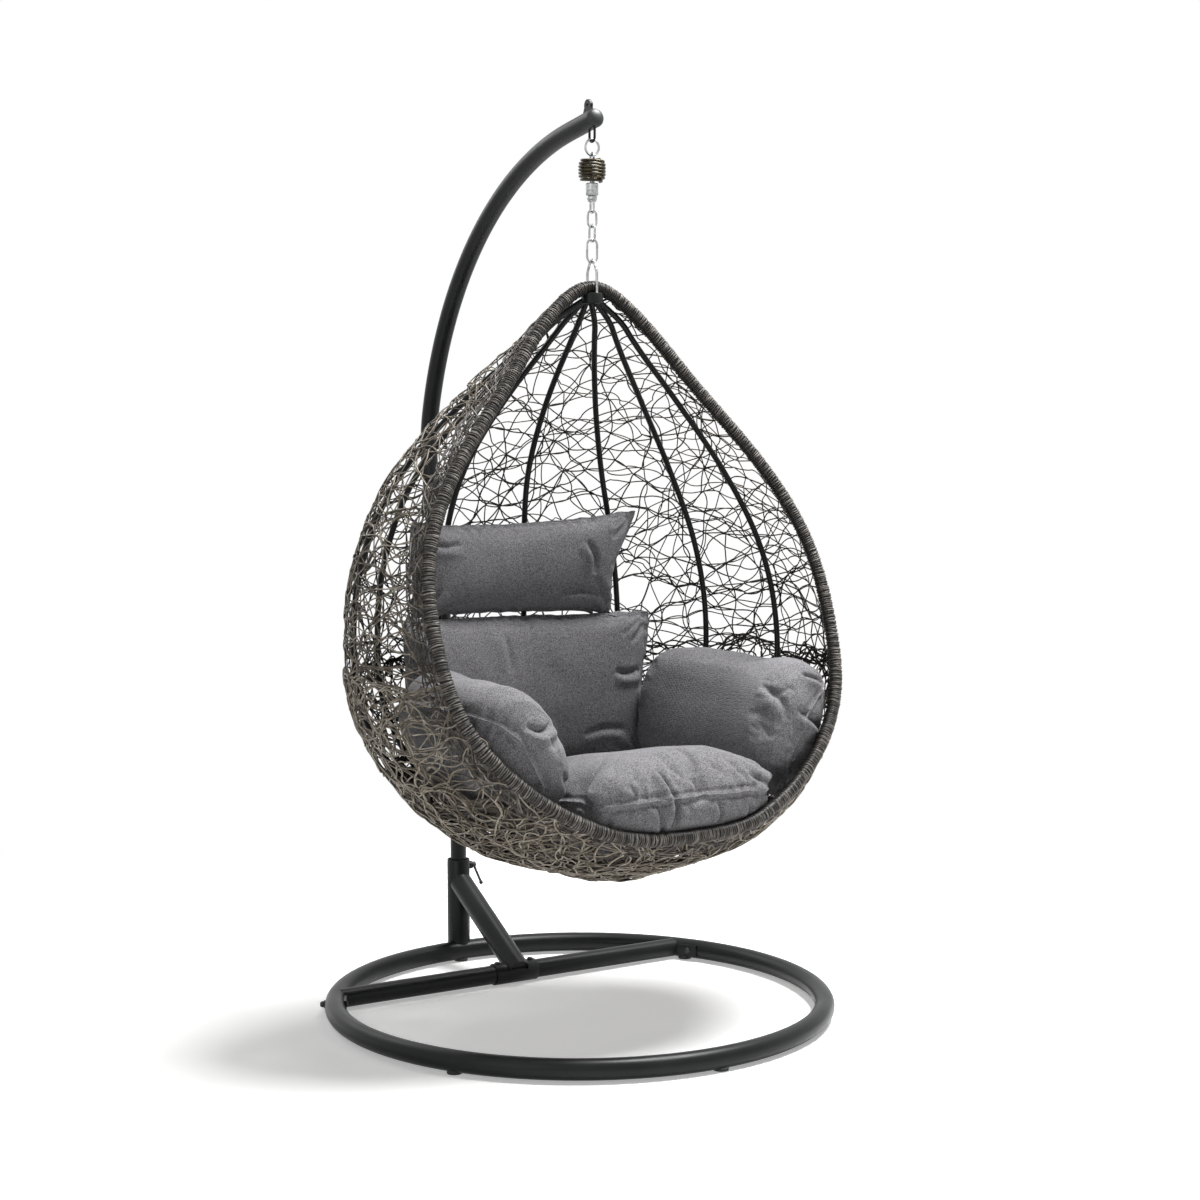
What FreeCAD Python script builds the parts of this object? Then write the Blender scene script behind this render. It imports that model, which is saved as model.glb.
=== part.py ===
import FreeCAD, Part
import os
from math import asin, cos, hypot, pi, radians, sin, sqrt, tan

V = FreeCAD.Vector
X_AXIS, Y_AXIS, Z_AXIS = V(1, 0, 0), V(0, 1, 0), V(0, 0, 1)

# Hanging egg chair, in millimetres. +Z is up, +Y points to the post behind the basket and the
# seat faces -Y. It is drawn from the centre of the base ring on the floor, and the finished nodes
# are moved so that the origin lies on the floor under the middle of the whole chair.
# Bars and turned pieces are drawn with flats, whose corners lie on the true circle.

# Stand
RING_RADIUS = 504.0
RING_TUBE = 42.0
RING_STEPS = 64
RING_SIDES = 12
PAD_HEIGHT = 3.0
PAD_RADIUS = 15.0
PAD_COUNT = 6
RING_Z = PAD_HEIGHT + RING_TUBE / 2
CROSSBAR_Y = 270.0
CROSSBAR_TUBE = 40.0
TAB_WIDTH = 44.0
TAB_HEIGHT = 24.0
TAB_THICK = 2.5
TAB_BOLT = 8.0
POST_Y = 513.0
SOCKET_TUBE = 50.0
SOCKET_WALL = 2.0
SOCKET_TOP = 230.0
SOCKET_FOOT = 32.0
BUSH_LENGTH = 38.0
LOW_BUSH_Z = 62.0
BRACE_TUBE = 50.0
BRACE_SLOPE = 30.0
BRACE_SEAT = 104.0
BRACE_SCREW_X = 41.0
BRACE_SCREW = 6.0
CLAMP_Z = 213.0
CLAMP_SCREW = 8.0

# Arm: a lower tube that plugs into the socket, and an upper tube bent over the basket
TUBE_SIDES = 16
LOWER_TUBE = 35.0
UPPER_TUBE = 38.0
TUBE_WALL = 2.0
ARM_FOOT_Z = 45.2
ARM_BEND_Z = 290.0
ARM_BEND_RADIUS = 700.0
ARM_LEAN = 9.1
ARM_JOINT_Z = 700.0
SPIGOT_LENGTH = 75.0
SHOULDER_Z = 1105.0
SHOULDER_RADIUS = 300.0
SHOULDER_TURN = 22.6
CROOK_RADIUS = 770.0
CROOK_TURN = 65.0
TIP_Y = -58.0
PLUG_DEPTH = 20.0
JOINT_BOLT = 6.0
LUG_Y = -35.0
LUG_RADIUS = 12.0
LUG_HOLE = 3.6
LUG_THICK = 6.0

# Hanging gear, all on one vertical line
HANG_Y = -48.0
WIRE = 4.5
WIRE_SIDES = 8
WIRE_STEP = 22.5
SLACK = 0.15
STAPLE_WIRE = 5.0
STAPLE_RADIUS = 9.5
STAPLE_Z = 1770.5
HANGER_RADIUS = 15.75
TOP_EYE_RADIUS = 6.5
SPRING_WIRE = 5.4
SPRING_TURNS = 7
SPRING_STEPS = 14
SPRING_TOP = 1740.0
SPRING_HEIGHT = 50.0
SPRING_END_RADIUS = 18.0
SPRING_MID_RADIUS = 25.0
HEAD_RADIUS = 16.0
SWIVEL_TOP = 1689.5
SWIVEL_LOW = 1665.0
SWIVEL_RADIUS = 12.5
PIN_RADIUS = 4.0
SWIVEL_EYE_RADIUS = 6.0
SWIVEL_EYE_LOW = 1631.1
LINK_LENGTH = 33.0
LINK_WIDTH = 20.0
LONG_LINK_LENGTH = 46.0
LONG_LINK_WIDTH = 23.5
LOOP_WIRE = 5.5
LOOP_RADIUS = 9.0
LOOP_SPREAD = 17.5
LOOP_SPLAY = 25.0

# Basket: the outer skin by height, half width, half depth and centre behind the hanging line
SKIN = (
    (300.0, 39.0, 33.0, -87.0),
    (330.0, 141.0, 117.0, -84.0),
    (370.0, 273.0, 217.0, -80.0),
    (430.0, 374.0, 283.0, -74.0),
    (520.0, 465.0, 326.0, -63.0),
    (640.0, 533.0, 340.0, -47.0),
    (800.0, 550.0, 314.0, -21.0),
    (960.0, 516.0, 285.0, 6.0),
    (1120.0, 425.0, 235.0, 34.0),
    (1280.0, 272.0, 150.0, 35.0),
    (1400.0, 136.0, 74.0, 17.0),
    (1488.0, 47.0, 25.0, -5.0),
)
SKIN_HEIGHTS = (300, 317, 343, 382, 425, 470, 540, 640, 760, 880, 1000, 1120, 1240, 1350, 1430, 1474)
SKIN_THICK = 9.0
SKIN_STEPS = 22
RIM_TUBE = 24.0
RIM_SIDES = 10
RIM_TOP = 1484.0
RIM_BOTTOM = 430.0
RIM_LEAN = 0.1863
RIM_CURVE = 7280.0
RIB_WIDTH = 12.0
RIB_SIDES = 6
RIB_PINCH = 4.3
RIB_INSET = SKIN_THICK + RIB_WIDTH / 2 + 7.0
RIB_ANGLES = (-73.5, -49.0, -24.5, 0.0, 24.5, 49.0, 73.5)
HUB_Z = 1452.0
HUB_RADIUS = 22.0
HUB_THICK = 22.0
FOOT_HUB_Z = 318.0
FOOT_HUB_RADIUS = 42.0
FOOT_HUB_THICK = 6.0

# Cushions
CUSHION_GAP = 32.0
CUSHION_REST = 0.8
SEAT_POINTS = 20
PAD_POINTS = 7
ARM_POINTS = 10
ARM_BACK = 34.0
ARM_FRONT = -44.0
ARM_THICK = 96.0
ARM_MIDDLE_Z = 610.0
ARM_HALF_HEIGHT = 114.0


def hang(x, y, z):
    # A point given from the hanging line
    return V(x, HANG_Y + y, z)


def largest(shape):
    return max(shape.Solids, key=lambda solid: solid.Volume)


def flat_face(corners):
    return Part.Face(Part.makePolygon(corners + corners[:1]))


def flats(a, b, c, d):
    # One flat face where four corners lie in a plane, or two where the strip twists
    cross = (b - a).cross(c - a)
    if cross.Length > 1e-6 and abs(cross.normalize().dot(d - a)) < 1e-5:
        return [flat_face([a, b, c, d])]
    return [flat_face([a, b, c]), flat_face([a, c, d])]


def cap(ring):
    # A flat end, or a fan about its middle where the ring isn't flat
    cross = (ring[1] - ring[0]).cross(ring[2] - ring[0]).normalize()
    if all(abs(cross.dot(p - ring[0])) < 1e-5 for p in ring):
        return [flat_face(ring)]
    middle = V(0, 0, 0)
    for p in ring:
        middle = middle + p * (1 / len(ring))
    return [flat_face([ring[i - 1], ring[i], middle]) for i in range(len(ring))]


def loft(rings, closed=False):
    # A ruled loft through rings of equally many corners
    faces = []
    for low, high in zip(rings, rings[1:] + rings[:1] if closed else rings[1:]):
        for i in range(len(low)):
            faces += flats(low[i - 1], low[i], high[i], high[i - 1])
    if not closed:
        faces += cap(rings[0]) + cap(rings[-1])
    skin = Part.makeCompound(faces)
    skin.sewShape()
    solid = Part.Solid(skin.Shells[0])
    if solid.Volume < 0:
        solid.reverse()
    return solid


def section(point, tangent, across, radius, sides):
    # A regular polygon square to the tangent, with its first corner along the across direction
    up = tangent.cross(across).normalize()
    side = up.cross(tangent).normalize()
    corners = []
    for i in range(sides):
        turn = 2 * pi * i / sides
        corners.append(point + side * (radius * cos(turn)) + up * (radius * sin(turn)))
    return corners


def bar(stations, radius, across, sides, closed=False):
    # A bar through (point, tangent) stations
    return loft([section(p, t, across, radius, sides) for p, t in stations], closed)


def pinched_bar(stations, radius, pinch, across, sides):
    # A bar whose first end is pressed narrow
    rings = [section(p, t, across, radius, sides) for p, t in stations]
    rings[0] = section(*stations[0], across, pinch, sides)
    return loft(rings)


def rod(start, axis, length, radius, sides=12, across=None):
    # A straight bar
    axis = V(axis).normalize()
    across = across or (X_AXIS if abs(axis.x) < 0.9 else Y_AXIS)
    return bar([(start, axis), (start + axis * length, axis)], radius, across, sides)


def turned(outline, base, axis, sides, across=X_AXIS):
    # A solid of (radius, height) rings along an axis; two rings at one height make a step
    return loft([section(base + axis * height, axis, across, radius, sides) for radius, height in outline])


def drill(start, axis, length, diameter):
    return Part.makeCylinder(diameter / 2, length, start, axis)


class Route:
    # Walks along a bar that stays in one plane and keeps a station wherever a section is drawn

    def __init__(self, start, heading, across):
        self.point, self.heading, self.across = V(start), V(heading).normalize(), across
        self.stations = [(self.point, self.heading)]

    def ahead(self, length):
        self.point = self.point + self.heading * length
        self.stations.append((self.point, self.heading))
        return self

    def bend(self, degrees, radius, step=WIRE_STEP):
        # Turns towards across x heading where degrees are positive
        count = max(1, round(abs(degrees) / step))
        turn = radians(degrees) / count
        for _ in range(count):
            side = self.across.cross(self.heading) * (1 if degrees > 0 else -1)
            angle = abs(turn)
            self.point = self.point + self.heading * (radius * sin(angle))
            self.point = self.point + side * (radius * (1 - cos(angle)))
            self.heading = (self.heading * cos(angle) + side * sin(angle)).normalize()
            self.stations.append((self.point, self.heading))
        return self

    def bar(self, radius, sides, closed=False):
        stations = self.stations[:-1] if closed else self.stations
        return bar(stations, radius, self.across, sides, closed)


# Stand

def ring_spot(angle, radius=RING_RADIUS, z=RING_Z):
    return V(radius * cos(angle), radius * sin(angle), z)


def ring_stations(first, count):
    found = []
    for i in range(first, first + count):
        angle = 2 * pi * i / RING_STEPS
        found.append((ring_spot(angle), V(-sin(angle), cos(angle), 0)))
    return found


def ring_bar():
    return bar(ring_stations(0, RING_STEPS), RING_TUBE / 2, Z_AXIS, RING_SIDES, True)


def ring_near(angle, reach=2):
    # The stretch of the ring round one angle, to cope other pieces to it
    middle = round(angle * RING_STEPS / (2 * pi))
    return bar(ring_stations(middle - reach, 2 * reach + 1), RING_TUBE / 2, Z_AXIS, RING_SIDES)


def tab_angles():
    # The screws sit just in front of the crossbar's ends
    near = asin((CROSSBAR_Y - 34.0) / RING_RADIUS)
    return near, pi - near


def outwards(angle):
    return V(cos(angle), sin(angle), 0)


def base_ring():
    ring = ring_bar()
    for angle in tab_angles():
        ring = ring.cut(drill(ring_spot(angle, RING_RADIUS - 25), outwards(angle), 50, TAB_BOLT + 0.4))
    return largest(ring)


def foot_pads():
    pads = []
    for i in range(PAD_COUNT):
        angle = 2 * pi * (i + 0.5) / PAD_COUNT
        pad = rod(ring_spot(angle, RING_RADIUS, 0), Z_AXIS, 8.0, PAD_RADIUS)
        pads.append(largest(pad.cut(ring_near(angle))))
    return Part.makeCompound(pads)


def crossbar_end():
    return sqrt(RING_RADIUS ** 2 - CROSSBAR_Y ** 2)


def crossbar_rod(radius):
    reach = crossbar_end()
    return rod(V(-reach, CROSSBAR_Y, RING_Z), X_AXIS, 2 * reach, radius, RING_SIDES, Z_AXIS)


def crossbar():
    tube = crossbar_rod(CROSSBAR_TUBE / 2)
    inner = RING_RADIUS - RING_TUBE / 2
    for angle in tab_angles():
        out = outwards(angle)
        across = out.cross(Z_AXIS)
        corner = ring_spot(angle, inner - TAB_THICK) - across * (TAB_WIDTH / 2) - Z_AXIS * (TAB_HEIGHT / 2)
        plate = Part.makeBox(TAB_WIDTH, 10.0, TAB_HEIGHT)
        plate.Placement = FreeCAD.Placement(corner, FreeCAD.Rotation(across, out, Z_AXIS, "XYZ"))
        tube = tube.fuse(plate)
    for angle in tab_angles():
        tube = tube.cut(ring_near(angle, 4))
        tube = tube.cut(drill(ring_spot(angle, inner - 20), outwards(angle), 60, TAB_BOLT + 0.4))
    return largest(tube)


def dome_bolt(head, shank, length, seat, axis):
    # A domed head on its seat, with its shank running back from it
    rings = [(shank, -length), (shank, 0), (head, 0), (head, head * 0.15), (head * 0.8, head * 0.42),
             (head * 0.4, head * 0.58)]
    across = Z_AXIS if abs(axis.z) < 0.9 else X_AXIS
    return turned(rings, seat, axis, 12, across)


def crossbar_bolts():
    bolts = []
    for angle in tab_angles():
        seat = ring_spot(angle, RING_RADIUS - RING_TUBE / 2 - TAB_THICK)
        bolts.append(dome_bolt(6.5, TAB_BOLT / 2, RING_TUBE + TAB_THICK + 7.0, seat, outwards(angle) * -1))
    return Part.makeCompound(bolts)


def crossbar_nuts():
    outer = RING_RADIUS + RING_TUBE / 2
    nuts = []
    for angle in tab_angles():
        out = outwards(angle)
        rings = [(8.5, -1), (8.5, 2), (6.5, 2), (6.5, 6.5), (4, 9.5)]
        nut = turned(rings, ring_spot(angle, outer), out, 10, Z_AXIS).cut(ring_near(angle))
        nuts.append(largest(nut.cut(drill(ring_spot(angle, outer - 4), out, 9.0 + 2, TAB_BOLT))))
    return Part.makeCompound(nuts)


def post_rod(radius, low, high):
    return rod(V(0, POST_Y, low), Z_AXIS, high - low, radius, TUBE_SIDES)


def clamp_hole(diameter):
    return drill(V(LOWER_TUBE / 2 - 5, POST_Y, CLAMP_Z), X_AXIS, 40, diameter)


def post_socket():
    inside = post_rod(SOCKET_TUBE / 2 - SOCKET_WALL, SOCKET_FOOT, SOCKET_TOP)
    boss = rod(V(SOCKET_TUBE / 2 - 2, POST_Y, CLAMP_Z), X_AXIS, 10.5, 9.0, 16)
    body = post_rod(SOCKET_TUBE / 2, SOCKET_FOOT, SOCKET_TOP).fuse(boss).cut(inside)
    return largest(body.cut(clamp_hole(CLAMP_SCREW + 0.1)).cut(ring_near(pi / 2)))


def socket_bushes():
    bushes = []
    for low in (LOW_BUSH_Z, SOCKET_TOP - BUSH_LENGTH):
        outer = post_rod(SOCKET_TUBE / 2 - SOCKET_WALL, low, low + BUSH_LENGTH)
        bush = outer.cut(post_rod(LOWER_TUBE / 2 + 0.05, low, low + BUSH_LENGTH))
        bushes.append(largest(bush.cut(clamp_hole(CLAMP_SCREW + 0.4))))
    return Part.makeCompound(bushes)


def brace():
    # A sloping tube from a saddle on the crossbar up to the socket
    slope = radians(BRACE_SLOPE)
    along = V(0, cos(slope), sin(slope))
    foot = V(0, CROSSBAR_Y, RING_Z + CROSSBAR_TUBE / 2)
    start, length = foot - along * 40, 330.0
    tube = rod(start, along, length, BRACE_TUBE / 2, TUBE_SIDES)
    bore = rod(start - along, along, length + 2, BRACE_TUBE / 2 - TUBE_WALL, TUBE_SIDES)
    behind = Part.makeBox(200, 200, 400, V(-100, POST_Y, 0))
    beneath = Part.makeBox(200, 400, 100, V(-100, CROSSBAR_Y - 200, RING_Z - 8 - 100))
    seat = rod(V(-BRACE_SEAT / 2, CROSSBAR_Y, RING_Z), X_AXIS, BRACE_SEAT, CROSSBAR_TUBE / 2 + 3,
               RING_SIDES, Z_AXIS)
    tube = tube.cut(bore).cut(post_rod(SOCKET_TUBE / 2, 0, 400)).cut(behind)
    body = tube.fuse(seat.cut(bore)).cut(beneath).cut(crossbar_rod(CROSSBAR_TUBE / 2))
    for x in (-BRACE_SCREW_X, BRACE_SCREW_X):
        body = body.cut(drill(V(x, CROSSBAR_Y, RING_Z + 10), Z_AXIS, 30, BRACE_SCREW + 0.4))
    return largest(body)


def brace_screws():
    seat_z = RING_Z + CROSSBAR_TUBE / 2 + 3
    screws = []
    for x in (-BRACE_SCREW_X, BRACE_SCREW_X):
        screw = dome_bolt(6.5, BRACE_SCREW / 2, 6.0, V(x, CROSSBAR_Y, seat_z), Z_AXIS)
        screws.append(largest(screw.cut(crossbar_rod(CROSSBAR_TUBE / 2))))
    return Part.makeCompound(screws)


def clamp_lever():
    # A hand screw on the side of the socket, with a sloping handle that ends in a ball
    hub_x = SOCKET_TUBE / 2 + 9.0
    tip_x = LOWER_TUBE / 2 + 1.0
    rings = [(3.0, 0), (CLAMP_SCREW / 2, 1.5), (CLAMP_SCREW / 2, hub_x - tip_x), (6.5, hub_x - tip_x),
             (6.5, hub_x - tip_x + 7), (5.0, hub_x - tip_x + 9)]
    screw = turned(rings, V(tip_x, POST_Y, CLAMP_Z), X_AXIS, 16, Z_AXIS)
    start = V(hub_x + 4.5, POST_Y, CLAMP_Z)
    way = V(6.5, -22.0, -37.0)
    reach = way.Length
    handle = turned([(2.8, 0), (2.8, reach - 3), (4.5, reach), (4.5, reach + 2.5), (2.8, reach + 5)],
                    start, V(way).normalize(), 10)
    return largest(screw.fuse(handle))


# Arm

def lean(angle=ARM_LEAN):
    # Degrees from straight up, positive towards the back
    return V(0, sin(radians(angle)), cos(radians(angle)))


def lean_point(height):
    # A point on the arm's straight leaning run
    turn = radians(ARM_LEAN)
    y = POST_Y + ARM_BEND_RADIUS * (1 - cos(turn))
    z = ARM_BEND_Z + ARM_BEND_RADIUS * sin(turn)
    return V(0, y + (height - z) * tan(turn), height)


def lower_route():
    route = Route(V(0, POST_Y, ARM_FOOT_Z), Z_AXIS, X_AXIS).ahead(ARM_BEND_Z - ARM_FOOT_Z)
    route.bend(-ARM_LEAN, ARM_BEND_RADIUS, 1.6)
    top = lean_point(ARM_JOINT_Z) + lean() * SPIGOT_LENGTH
    return route.ahead((top - route.point).Length)


def upper_route():
    route = Route(lean_point(ARM_JOINT_Z), lean(), X_AXIS)
    route.ahead((SHOULDER_Z - ARM_JOINT_Z) / cos(radians(ARM_LEAN)))
    route.bend(SHOULDER_TURN, SHOULDER_RADIUS, 4.0).bend(CROOK_TURN, CROOK_RADIUS, 3.2)
    return route.ahead((TIP_Y - route.point.y) / route.heading.y)


def joint_bolt_centre():
    return lean_point(ARM_JOINT_Z) + lean() * (SPIGOT_LENGTH / 2)


def joint_bolt_hole():
    return drill(joint_bolt_centre() - X_AXIS * 40, X_AXIS, 80, JOINT_BOLT + 0.4)


def arm_lower():
    route = lower_route()
    tube = route.bar(LOWER_TUBE / 2, TUBE_SIDES).cut(route.bar(LOWER_TUBE / 2 - TUBE_WALL, TUBE_SIDES))
    return largest(tube.cut(joint_bolt_hole()))


def arm_upper():
    route = upper_route()
    sleeve = rod(lean_point(ARM_JOINT_Z) - lean(), lean(), SPIGOT_LENGTH + 1.5,
                 LOWER_TUBE / 2 + 0.05, TUBE_SIDES)
    plug = rod(route.point - route.heading * (PLUG_DEPTH + 1), route.heading, PLUG_DEPTH + 2,
               UPPER_TUBE / 2 - TUBE_WALL, TUBE_SIDES)
    return largest(route.bar(UPPER_TUBE / 2, TUBE_SIDES).cut(sleeve).cut(plug).cut(joint_bolt_hole()))


def arm_joint_bolt():
    face = UPPER_TUBE / 2
    bolt = dome_bolt(6.0, JOINT_BOLT / 2, 2 * face + 6.0, joint_bolt_centre() - X_AXIS * face, X_AXIS * -1)
    nut = turned([(6, 0), (6, 5)], joint_bolt_centre() + X_AXIS * face, X_AXIS, 6, Z_AXIS)
    nut = nut.cut(drill(joint_bolt_centre(), X_AXIS, 40, JOINT_BOLT))
    return Part.makeCompound([bolt, nut])


def arm_cap():
    # A domed plug in the open end of the arm
    route = upper_route()
    r, face = UPPER_TUBE / 2, PLUG_DEPTH
    rings = [(r - TUBE_WALL, 0), (r - TUBE_WALL, face), (r, face), (r, face + 1.5), (r * 0.93, face + 5.5),
             (r * 0.77, face + 9.0), (r * 0.52, face + 11.8), (r * 0.2, face + 13.0)]
    return turned(rings, route.point - route.heading * face, route.heading, TUBE_SIDES)


def arm_end_run():
    # The last straight run of the arm, to cope welded pieces to it
    return bar(upper_route().stations[-2:], UPPER_TUBE / 2, X_AXIS, TUBE_SIDES)


def arm_axis_z(y):
    route = upper_route()
    return route.point.z + (y - route.point.y) * route.heading.z / route.heading.y


def top_lug():
    # A flat ear welded on top of the arm for a safety line
    centre = V(-LUG_THICK / 2, LUG_Y, arm_axis_z(LUG_Y) + UPPER_TUBE / 2 + LUG_RADIUS + 0.5)
    low = arm_axis_z(LUG_Y) + UPPER_TUBE / 2 - 4
    outline = [V(centre.x, LUG_Y - 15, low)]
    for i in range(13):
        turn = radians(200 - 220 * i / 12)
        outline.append(centre + V(0, LUG_RADIUS * cos(turn), LUG_RADIUS * sin(turn)))
    outline.append(V(centre.x, LUG_Y + 17, low))
    ear = flat_face(outline).extrude(X_AXIS * LUG_THICK)
    return largest(ear.cut(drill(centre - X_AXIS * 5, X_AXIS, 20, LUG_HOLE * 2)).cut(arm_end_run()))


def hanging_staple():
    # A round-bar staple welded under the arm, in the plane of the arm
    bend_z = STAPLE_Z + STAPLE_RADIUS
    leg = arm_axis_z(HANG_Y) - bend_z
    route = Route(hang(0, -STAPLE_RADIUS, bend_z + leg), Z_AXIS * -1, X_AXIS)
    route.ahead(leg).bend(180, STAPLE_RADIUS).ahead(leg)
    return largest(route.bar(STAPLE_WIRE / 2, WIRE_SIDES).cut(arm_end_run()))


# Hanging gear

HANGER_Z = STAPLE_Z + (STAPLE_WIRE + WIRE) / 2 + SLACK - HANGER_RADIUS
TOP_EYE_Z = HANGER_Z - HANGER_RADIUS + WIRE + SLACK - TOP_EYE_RADIUS
LINK_1_Z = SWIVEL_EYE_LOW + WIRE + SLACK - LINK_LENGTH / 2
LINK_2_Z = LINK_1_Z + WIRE + SLACK - LINK_LENGTH
LONG_LINK_Z = LINK_2_Z + WIRE + SLACK - (LINK_LENGTH + LONG_LINK_LENGTH) / 2
LOOP_TOP_Z = LONG_LINK_Z - LONG_LINK_LENGTH / 2 + (WIRE + LOOP_WIRE) / 2 + SLACK


def wire_ring(radius, centre, across):
    start = centre + Z_AXIS.cross(across) * radius
    route = Route(start, Z_AXIS, across)
    return route.bend(360, radius, WIRE_STEP * 0.75).bar(WIRE / 2, WIRE_SIDES, True)


def chain_link(length, width, centre, across):
    # Straight sides and half-round ends; length and width are of the wire's centre line
    side = length - width
    start = centre + Z_AXIS.cross(across) * (width / 2) - Z_AXIS * (side / 2)
    route = Route(start, Z_AXIS, across).ahead(side).bend(180, width / 2).ahead(side).bend(180, width / 2)
    return route.bar(WIRE / 2, WIRE_SIDES, True)


def hanger_ring():
    return wire_ring(HANGER_RADIUS, hang(0, 0, HANGER_Z), Y_AXIS)


def spring_top_eye():
    # An eye on a stem whose wide head is caught inside the narrow end of the spring
    top = TOP_EYE_Z - TOP_EYE_RADIUS
    outline = [(HEAD_RADIUS, -14), (HEAD_RADIUS, -11.5), (3.4, -5), (3.4, 0)]
    stem = turned(outline, hang(0, 0, top), Z_AXIS, 16)
    return largest(wire_ring(TOP_EYE_RADIUS, hang(0, 0, TOP_EYE_Z), X_AXIS).fuse(stem))


def spring_point(turn):
    # Centre of the spring's wire after so many turns, on a barrel that swells at its middle
    share = turn / SPRING_TURNS
    swell = (SPRING_MID_RADIUS - SPRING_END_RADIUS) * (1 - (2 * share - 1) ** 4)
    radius, angle = SPRING_END_RADIUS + swell, 2 * pi * turn
    drop = SPRING_WIRE / 2 + (SPRING_HEIGHT - SPRING_WIRE) * share
    return hang(radius * cos(angle), radius * sin(angle), SPRING_TOP - drop)


def spring_tangent(turn):
    step = 0.001
    return (spring_point(turn + step) - spring_point(turn - step)).normalize()


def spring_gap():
    steps = 48
    samples = [spring_point(i / steps) for i in range(SPRING_TURNS * steps + 1)]
    least = SPRING_MID_RADIUS
    for i, p in enumerate(samples):
        for q in samples[i + steps // 2:i + 3 * steps // 2]:
            least = min(least, (p - q).Length)
    return least - SPRING_WIRE


def spring():
    count = SPRING_TURNS * SPRING_STEPS
    turns = [i / SPRING_STEPS for i in range(count + 1)]
    stations = [(spring_point(t), spring_tangent(t)) for t in turns]
    first, last = stations[0], stations[-1]
    stations.insert(0, (first[0] - first[1] * SPRING_WIRE, first[1]))
    stations.append((last[0] + last[1] * SPRING_WIRE, last[1]))
    print("spring: least gap between turns %.2f mm" % spring_gap())
    return bar(stations, SPRING_WIRE / 2, Z_AXIS, 6)


def swivel_body():
    # A turned barrel: its head is caught in the spring and its cavity holds the swivel pin
    length = SWIVEL_TOP - SWIVEL_LOW
    r = SWIVEL_RADIUS
    rings = [(r - 1.5, 0), (r, 1.5), (r, length - 1.5), (r - 1.5, length), (5, length), (5, length + 9),
             (HEAD_RADIUS, length + 14), (HEAD_RADIUS, length + 16)]
    base = hang(0, 0, SWIVEL_LOW)
    barrel = turned(rings, base, Z_AXIS, TUBE_SIDES)
    cavity = turned([(PIN_RADIUS * 2 + 0.3, 4), (PIN_RADIUS * 2 + 0.3, 15)], base, Z_AXIS, TUBE_SIDES)
    hole = turned([(PIN_RADIUS + 0.1, -1), (PIN_RADIUS + 0.1, 5)], base, Z_AXIS, TUBE_SIDES)
    return largest(barrel.cut(cavity).cut(hole))


def swivel_eye():
    # The pin turns in the barrel and carries an eye for the chain
    r, plate = SWIVEL_EYE_RADIUS, -12.0
    rings = [(8.5, plate), (8.5, -9), (PIN_RADIUS, -9), (PIN_RADIUS, 4.1), (PIN_RADIUS * 2, 4.1),
             (PIN_RADIUS * 2, 8)]
    pin = turned(rings, hang(0, 0, SWIVEL_LOW), Z_AXIS, 16)
    leg = SWIVEL_LOW + plate + 1.5 - SWIVEL_EYE_LOW - r
    route = Route(hang(0, -r, SWIVEL_EYE_LOW + r + leg), Z_AXIS * -1, X_AXIS)
    route.ahead(leg).bend(180, r).ahead(leg)
    return largest(pin.fuse(route.bar(WIRE / 2, WIRE_SIDES)))


def swivel_collar():
    base = hang(0, 0, SWIVEL_LOW - 8.8)
    ring = turned([(8.5, 0), (10, 1.5), (10, 6.5), (8.5, 8)], base, Z_AXIS, 16)
    return largest(ring.cut(turned([(PIN_RADIUS + 0.1, -1), (PIN_RADIUS + 0.1, 9)], base, Z_AXIS, 16)))


def basket_loop():
    # A round-bar bow over the top of the rim, with its legs welded to the hub
    splay = radians(LOOP_SPLAY)
    knee = 12.0
    run = (LOOP_SPREAD - LOOP_RADIUS * cos(splay) - knee * (1 - cos(splay))) / sin(splay)
    rise = knee * sin(splay) + run * cos(splay) + LOOP_RADIUS * (1 - sin(splay))
    foot = HUB_Z + HUB_THICK - 1.0
    leg = LOOP_TOP_Z - rise - foot
    route = Route(hang(0, LOOP_SPREAD, foot), Z_AXIS, X_AXIS).ahead(leg)
    route.bend(LOOP_SPLAY, knee, 12.5).ahead(run)
    route.bend(180 - 2 * LOOP_SPLAY, LOOP_RADIUS).ahead(run).bend(LOOP_SPLAY, knee, 12.5).ahead(leg)
    return largest(route.bar(LOOP_WIRE / 2, WIRE_SIDES).cut(top_hub()))


# Basket

def skin_at(height):
    # Half width, half depth and centre of the outer skin, smooth between its stations
    last = len(SKIN) - 1
    i = 0
    while i < last - 1 and height > SKIN[i + 1][0]:
        i += 1
    span = SKIN[i + 1][0] - SKIN[i][0]
    t = (height - SKIN[i][0]) / span
    found = []
    for k in (1, 2, 3):
        low, high = SKIN[i][k], SKIN[i + 1][k]
        start, end = skin_slope(i, k) * span, skin_slope(i + 1, k) * span
        found.append((1 + 2 * t) * (1 - t) ** 2 * low + t * (1 - t) ** 2 * start
                     + t * t * (3 - 2 * t) * high - t * t * (1 - t) * end)
    return found


def skin_slope(i, k):
    if 0 < i < len(SKIN) - 1:
        before, after = SKIN[i][0] - SKIN[i - 1][0], SKIN[i + 1][0] - SKIN[i][0]
        back = (SKIN[i][k] - SKIN[i - 1][k]) / before
        ahead = (SKIN[i + 1][k] - SKIN[i][k]) / after
        return (back * after + ahead * before) / (before + after)
    j = max(i, 1)
    return (SKIN[j][k] - SKIN[j - 1][k]) / (SKIN[j][0] - SKIN[j - 1][0])


def inner_at(height, inset):
    # The skin moved inwards square to itself: height, half width, half depth and centre
    half_width, half_depth, centre = skin_at(height)
    above, below = skin_at(height + 1), skin_at(height - 1)
    slope = (above[0] + above[1] - below[0] - below[1]) / 4
    shrink = inset / hypot(1, slope)
    return height + shrink * slope, half_width - shrink, half_depth - shrink, centre


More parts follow.
